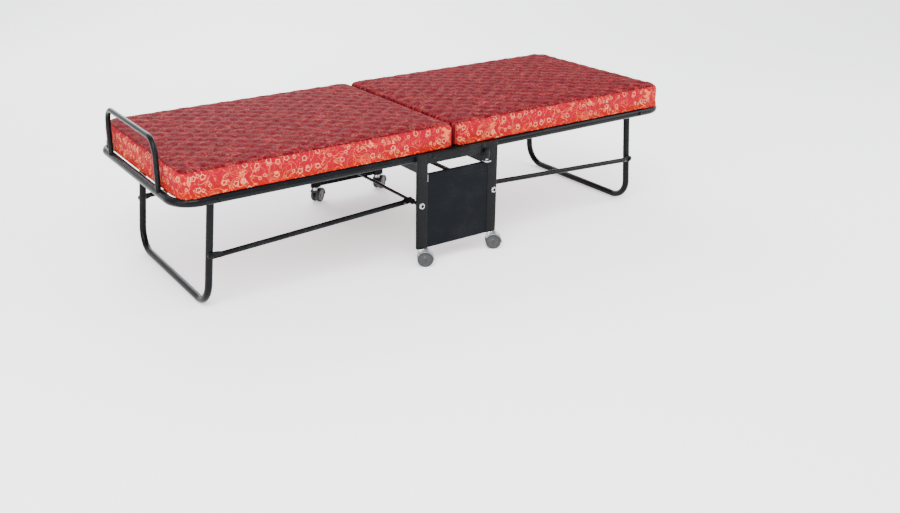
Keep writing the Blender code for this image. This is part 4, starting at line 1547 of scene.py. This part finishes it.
@dataclass
class Mattress:
    """One padded cushion: blown up as cloth, then quilted, seamed and laid out for its print."""

    palette: Palette
    end: End
    past_inner: float = 1.5 * MM
    past_outer: float = 2.0 * MM
    edge: float = 14.0 * MM
    foot_edge: float = 5.0 * MM
    crown: float = 5.0 * MM
    inner_corner: float = 14.0 * MM
    outer_corner: float = 46.0 * MM
    voxel: float = 8.0 * MM
    pressure: float = 4.0
    frames: int = 20
    cap: float = 5.0 * MM
    seam_in: float = 12.0 * MM
    quilt: float = 56.0 * MM
    quilt_depth: float = 2.4 * MM
    under_seam: float = 0.22
    tuck: float = 5.0 * MM
    tuck_from: float = 15.0 * MM
    tuck_run: float = 20.0 * MM
    squared: float = 0.92
    clear: float = 0.3 * MM
    rail_radius: float = 12.5 * MM
    rail_corner: float = 70.0 * MM
    stitch: float = 4.5 * MM
    welt_depth: float = 1.5 * MM
    ripple_depth: float = 0.35 * MM

    def build(self) -> None:
        """Build, blow up, quilt, lay out and dress the cushion."""
        word = self.end.word
        low, high = corners(f"{word}_mattress")
        floor = corners(f"{word}_board")[0][2] + self.clear
        way = self.end.value
        inner = (low[0] if way > 0 else high[0]) - way * self.past_inner
        outer = (high[0] if way > 0 else low[0]) + way * self.past_outer
        self.half = np.array([abs(outer - inner) / 2, (high[1] - low[1]) / 2])
        self.centre = np.array([(inner + outer) / 2, 0.0])
        self.floor, self.top = floor, high[2] - 1.0 * MM
        self.outline = self.plan()
        pad = self.block(f"{word}_pad")
        remesh = pad.modifiers.new("even_mesh", "REMESH")
        remesh.mode, remesh.voxel_size, remesh.use_smooth_shade = "VOXEL", self.voxel, True
        baked(pad)
        self.blow_up(pad)
        finer = pad.modifiers.new("finer", "SUBSURF")
        finer.levels = finer.render_levels = 1
        baked(pad)
        self.settle(pad)
        self.sew(pad)
        self.lay_out(pad)
        pad.data.shade_smooth()
        dress(pad, f"{word}_half", self.palette.cloth, "red_cloth", f"{word}_mattress",
              f"{word}_board")

    def plan(self) -> np.ndarray:
        """The cushion's outline from above, with small inner and larger outer corners.

        Returns:
            An array of (x, y) pairs at even steps along the outline.
        """
        half_x, half_y = self.half
        way = self.end.value
        turn = np.linspace(0, np.pi / 2, 9)
        points = []
        for quarter, (sx, sy) in enumerate(((1, 1), (-1, 1), (-1, -1), (1, -1))):
            radius = self.outer_corner if sx == way else self.inner_corner
            angle = turn + quarter * np.pi / 2
            points.append(np.stack([sx * (half_x - radius) + radius * np.cos(angle),
                                    sy * (half_y - radius) + radius * np.sin(angle)], -1))
        ring = np.concatenate(points)
        closed = np.concatenate([ring, ring[:1]])
        run = np.concatenate([[0], np.cumsum(np.linalg.norm(np.diff(closed, axis=0), axis=1))])
        even = np.linspace(0, run[-1], 240, endpoint=False)
        return self.centre + np.stack([np.interp(even, run, closed[:, i]) for i in (0, 1)], -1)

    def block(self, name: str) -> bpy.types.Object:
        """The cushion before it is blown up.

        Its outline is drawn in ring by ring. The rims follow quarter circles of the edge's
        radius, the sides lean in a little at the foot, and the top rises to its crown as
        crown * (1 - u^2), where u goes from 0 in the middle to 1 at the rim.

        Args:
            name: the piece's name.

        Returns:
            The closed block.
        """
        quarter = np.linspace(0, np.pi / 2, 7)
        edge = self.edge
        foot = self.foot_edge
        drawn_in = np.concatenate([foot * (1 - np.sin(quarter)), edge * (1 - np.cos(quarter))])
        height = np.concatenate([self.floor + foot * (1 - np.cos(quarter)),
                                 self.top - edge * (1 - np.sin(quarter))])
        u = np.linspace(0.96, 0.0, 26)
        narrow = self.half.min() - edge
        drawn_in = np.concatenate([foot + (narrow + edge - foot) * (1 - u[::-1]), drawn_in,
                                   edge + narrow * (1 - u)])
        height = np.concatenate([np.full(26, self.floor), height,
                                 self.top + self.crown * (1 - u ** 2)])
        share = np.maximum(1 - drawn_in[:, None] / self.half, 0)
        flat = self.centre + share[:, None] * (self.outline - self.centre)
        tall = np.broadcast_to(height[:, None, None], (*flat.shape[:2], 1))
        return lofted(name, np.concatenate([flat, tall], -1))

    def blow_up(self, pad: bpy.types.Object) -> None:
        """Blow the cover up as cloth for a few frames, and keep its movement within the cap.

        Args:
            pad: the cushion, whose mesh changes.
        """
        rest = mesh_points(pad.data)
        cloth = pad.modifiers.new("stuffing", "CLOTH")
        settings = cloth.settings
        settings.quality = 4
        settings.mass = 0.4
        settings.tension_stiffness = settings.compression_stiffness = 18.0
        settings.shear_stiffness = 9.0
        settings.bending_stiffness = 0.6
        settings.use_pressure = True
        settings.uniform_pressure_force = self.pressure
        settings.effector_weights.gravity = 0.0
        cloth.collision_settings.use_collision = False
        cloth.collision_settings.use_self_collision = False
        cloth.point_cache.frame_start, cloth.point_cache.frame_end = 1, self.frames
        scene = bpy.context.scene
        for step in range(1, self.frames + 1):
            scene.frame_set(step)
        evaluated = pad.evaluated_get(bpy.context.evaluated_depsgraph_get())
        move = mesh_points(evaluated.data) - rest
        pad.modifiers.clear()
        scene.frame_set(1)
        inward = np.abs(rest[:, 0]) < 30 * MM
        limit = np.where(inward, 1.5 * MM, self.cap) * np.clip(
            (rest[:, 2] - self.floor) / (8 * MM), 0, 1)
        size = np.linalg.norm(move, axis=1)
        move *= (limit * np.tanh(size / np.maximum(limit, 1e-6)) / np.maximum(size, 1e-9))[:, None]
        pad.data.vertices.foreach_set("co", (rest + move).astype(np.float32).ravel())
        pad.data.update()
        log.info("%s blown up by at most %.1f mm", pad.name, np.abs(move).max() / MM)

    def settle(self, pad: bpy.types.Object) -> None:
        """Square up the lower edge and let the cushion rest on the rails.

        Near the floor a point close to the outline goes out towards it, by the share
        `squared` of its distance at the floor itself. Past the leg's axle the underside
        sags by the tuck, but stays over the rail's surface, rail_z + sqrt(radius^2 - d^2),
        where d is the distance to the rail's centre line.

        Args:
            pad: the cushion, whose mesh changes.
        """
        points = mesh_points(pad.data)
        low, high = corners(f"{self.end.word}_frame_tube")
        way, radius = self.end.value, self.rail_radius
        rail_z = (low[2] + high[2]) / 2
        outer, side = (high[0] if way > 0 else -low[0]) - radius, high[1] - radius
        rail = bent_path([(0, -side, 0), (way * outer, -side, 0), (way * outer, side, 0),
                          (0, side, 0)], self.rail_corner, 20)[:, :2]
        inside, _, nearest = away_from_outline(points[:, :2], self.outline)
        depth = np.clip(1 - (points[:, 2] - self.floor) / (14 * MM), 0, 1)
        share = self.squared * depth * np.clip(2 - inside / (7 * MM), 0, 1)
        points[:, :2] += share[:, None] * (nearest - points[:, :2])
        off, _, _ = away_from_outline(points[:, :2], rail, closed=False)
        over = rail_z + np.sqrt(np.maximum(radius ** 2 - off ** 2, 0)) + self.clear
        under = np.clip(1 - (points[:, 2] - self.floor) / (9 * MM), 0, 1)
        axle = abs(middle(f"{self.end.word}_leg_axle")[0])
        free = np.clip((way * points[:, 0] - axle - self.tuck_from) / self.tuck_run, 0, 1)
        sagged = np.maximum(self.floor - self.tuck * free, np.where(off < radius, over, 0))
        points[:, 2] += under * np.minimum(sagged - self.floor, 0) * 1.1
        points[:, 2] = np.maximum(points[:, 2], sagged)
        pad.data.vertices.foreach_set("co", points.astype(np.float32).ravel())
        pad.data.update()

    def sew(self, pad: bpy.types.Object) -> None:
        """Sink the quilting stitches and the seams into the cover.

        The stitches lie on two families of slanting lines, x/p + y/q and x/p - y/q whole.
        A line sinks by depth * exp(-(distance / (2.4 * stitch))^2), with a pucker along it. A
        curve of the same kind sinks the seam round the top panel. The sunk stitches and seam are
        also marked for painted shade, the underside's two seams are only marked with painted
        shade, not sunk, and a fine ripple runs over the rest of the cover.

        Args:
            pad: the cushion, whose mesh changes and gains two attributes.
        """
        points, normals = mesh_points(pad.data), mesh_normals(pad.data)
        way = self.end.value
        open_end = self.outline - np.where(way * self.outline[:, :1] < 0.1, way * 0.2, 0) * (1, 0)
        inside = away_from_outline(points[:, :2], open_end)[0]
        inner_face = -way * normals[:, 0] > 0.6
        upper = (points[:, 2] > (self.floor + self.top) / 2) | inner_face
        facing = np.where(inner_face, 1, np.clip(normals[:, 2] * 3 - 0.6, -1, 1))
        seam = np.where(upper, np.minimum(inside - self.seam_in, facing * 40 * MM), -40 * MM)
        sink = np.zeros(len(points))
        x, y = points[:, 0], points[:, 1]
        for slope in (1, -1):
            phase = x / (self.quilt * 1.25) + slope * y / self.quilt
            off = np.abs(phase - np.round(phase)) * self.quilt * 0.78
            pucker = 1 + 0.25 * np.sin(2 * np.pi * (x / (11 * MM) - slope * y / (13 * MM)))
            sink += self.quilt_depth * np.exp(-(off / (2.4 * self.stitch)) ** 2) * pucker
        under = points[:, 2] < self.floor + 2 * MM
        sink *= np.clip(seam / (18 * MM), 0, 1) * ~inner_face
        # painted shade: the share that darkens the colour along the sunk stitches and seam, and
        # along the underside's two seams, which are not sunk
        stitch_shade = sink / self.quilt_depth
        welt = np.exp(-(seam / (3.2 * MM)) ** 2) * upper
        under_seam_shade = np.exp(-((np.abs(y) - self.under_seam) / (3.5 * MM)) ** 2) * under
        sink += self.welt_depth * welt
        stitch_shade += welt + under_seam_shade
        ripple = np.sin(2 * np.pi * (x + 0.35 * y) / (26 * MM) + 2.2 * np.sin(y / (34 * MM)))
        ripple *= np.sin(y / (47 * MM) + 1.7 * np.sin(x / (61 * MM)))
        sink += self.ripple_depth * ripple * ~under
        points -= normals * sink[:, None]
        pad.data.vertices.foreach_set("co", points.astype(np.float32).ravel())
        pad.data.update()
        for name, values in (("inside_seam", seam), ("stitch_shade", np.clip(stitch_shade, 0, 1))):
            mark = pad.data.attributes.new(name, "FLOAT", "POINT")
            mark.data.foreach_set("value", values.astype(np.float32))

    def lay_out(self, pad: bpy.types.Object) -> None:
        """Lay the cloth out in metres: (x, y) on top and underneath, (run, z) on the border.

        Args:
            pad: the cushion, whose mesh gains the UV map "cloth".
        """
        mesh = pad.data
        points = mesh_points(mesh)
        seam = np.empty(len(points), np.float32)
        mesh.attributes["inside_seam"].data.foreach_get("value", seam)
        run = away_from_outline(points[:, :2], self.outline)[1]
        length = np.linalg.norm(np.roll(self.outline, -1, 0) - self.outline, axis=1).sum()
        corner_point = np.empty(len(mesh.loops), np.int32)
        mesh.loops.foreach_get("vertex_index", corner_point)
        sizes = np.empty(len(mesh.polygons), np.int32)
        mesh.polygons.foreach_get("loop_total", sizes)
        face = np.repeat(np.arange(len(sizes)), sizes)
        starts = np.concatenate([[0], np.cumsum(sizes)[:-1]])
        on_top = np.add.reduceat(seam[corner_point], starts) > 0
        low = np.maximum.reduceat(points[corner_point, 2], starts) < self.floor + 3 * MM
        flat = (on_top | low)[face]
        along = run[corner_point]
        first = along[starts][face]
        along = along + length * np.round((first - along) / length)
        uv = np.where(flat[:, None], points[corner_point, :2],
                      np.stack([along + 2.0, points[corner_point, 2]], -1))
        layer = mesh.uv_layers.new(name="cloth")
        layer.data.foreach_set("uv", uv.astype(np.float32).ravel())


# ================================================================ studio
@dataclass
class Studio:
    """A pale floor that curves up into a backdrop, soft lights and the camera."""

    floor_colour: Colour = (0.93, 0.93, 0.935)
    floor_glow: float = 0.55
    width: float = 16.0
    depth: float = 5.0
    cove: float = 2.0
    height: float = 5.0
    front: float = -9.0
    aim: Point = (0.0, 0.0, 0.3)
    eye: Point = (-1.7707, -2.7372, 1.2853)
    azimuth: float = -32.2509
    elevation: float = 20.6692
    roll: float = -0.3745
    lens: float = 40.53
    shift: tuple[float, float] = (0.0702, -0.0536)

    def build(self) -> None:
        """Build the floor, the lights and the camera."""
        self.build_floor()
        for name, place, size, power, tint in (
                ("key_light", (-1.6, -2.2, 3.6), 2.6, 260.0, (1.0, 0.985, 0.96)),
                ("front_light", (-3.6, -1.6, 1.8), 2.2, 80.0, (0.95, 0.98, 1.0)),
                ("right_light", (3.4, -2.2, 2.2), 2.4, 110.0, (0.98, 0.99, 1.0)),
                ("back_light", (0.6, 3.4, 2.8), 3.0, 160.0, (1.0, 1.0, 1.0))):
            self.build_light(name, place, size, power, tint)
        self.build_world()
        self.build_camera()

    def build_floor(self) -> None:
        """The floor and backdrop: a flat run, a quarter circle and a wall, seen from inside."""
        turn = np.linspace(0, np.pi / 2, 25)[1:]
        run = np.concatenate([[self.front, self.depth - self.cove],
                              self.depth - self.cove + self.cove * np.sin(turn), [self.depth]])
        rise = np.concatenate([[0, 0], self.cove * (1 - np.cos(turn)), [self.height]])
        aside = np.linspace(-self.width, self.width, 9)
        view = math.radians(self.azimuth)
        back = np.array([-math.sin(view), math.cos(view), 0.0])
        right = np.array([math.cos(view), math.sin(view), 0.0])
        points = (run[:, None, None] * back + aside[None, :, None] * right
                  + rise[:, None, None] * np.array([0.0, 0.0, 1.0]))
        floor = as_piece("studio_floor", points,
                         grid_faces(len(run), len(aside), round_columns=False), closed=False)
        nodes = Nodes("studio_paper")
        place = nodes.add("TexCoord").outputs["Object"]
        shade = nodes.noise(place, 1.4, 3.0)
        nodes.set(Base_Color=nodes.blend(shade, rgba(self.floor_colour), (0.91, 0.91, 0.915, 1)),
                  Roughness=nodes.math("MULTIPLY_ADD", shade, 0.1, 0.78),
                  Emission_Color=(1.0, 1.0, 1.0, 1.0), Emission_Strength=self.floor_glow)
        floor.data.materials.append(nodes.material)

    def build_light(self, name: str, place: Point, size: float, power: float,
                    tint: Colour) -> None:
        """A square soft light that looks at the middle of the cot.

        Args:
            name: the light's name.
            place: where it hangs.
            size: the square's side.
            power: its power in watts.
            tint: its colour.
        """
        data = bpy.data.lights.new(name, "AREA")
        data.size, data.energy, data.color = size, power, tint
        light = bpy.data.objects.new(name, data)
        light.location = place
        aim = Vector(self.aim) - Vector(place)
        light.rotation_euler = aim.to_track_quat("-Z", "Y").to_euler()
        bpy.context.scene.collection.objects.link(light)

    def build_world(self) -> None:
        """A pale, even surrounding."""
        world = bpy.data.worlds.new("studio_air")
        world.use_nodes = True
        background = world.node_tree.nodes["Background"]
        background.inputs[0].default_value = (0.93, 0.95, 1.0, 1.0)
        background.inputs[1].default_value = 1.5
        bpy.context.scene.world = world

    def build_camera(self) -> None:
        """The camera, turned by its azimuth, elevation and roll."""
        az, el, roll = (math.radians(v) for v in (self.azimuth, self.elevation, self.roll))
        back = Vector((math.sin(az) * math.cos(el), -math.cos(az) * math.cos(el), math.sin(el)))
        level = Vector((0, 0, 1)).cross(back).normalized()
        rise = back.cross(level)
        right = math.cos(roll) * level + math.sin(roll) * rise
        up = -math.sin(roll) * level + math.cos(roll) * rise
        data = bpy.data.cameras.new("studio_camera")
        data.lens, data.sensor_width = self.lens, 36.0
        data.shift_x, data.shift_y = self.shift
        camera = bpy.data.objects.new("studio_camera", data)
        camera.matrix_world = Matrix.Translation(self.eye) @ \
            Matrix((right, up, back)).transposed().to_4x4()
        bpy.context.scene.collection.objects.link(camera)
        bpy.context.scene.camera = camera


def main() -> None:
    """Build the looks of the whole cot and its studio."""
    palette = Palette.mixed()
    CentreStand(palette).build()
    LockPlunger(palette).build()
    for end in End:
        HalfFrame(palette, end).build()
        SwingLeg(palette, end).build()
        Mattress(palette, end).build()
        for side in Side:
            TwinCaster(palette, end, side).build()
            SideLink(palette, end, side).build()
    Studio().build()


if __name__ == "__main__":
    logging.basicConfig(level=logging.INFO)
    main()
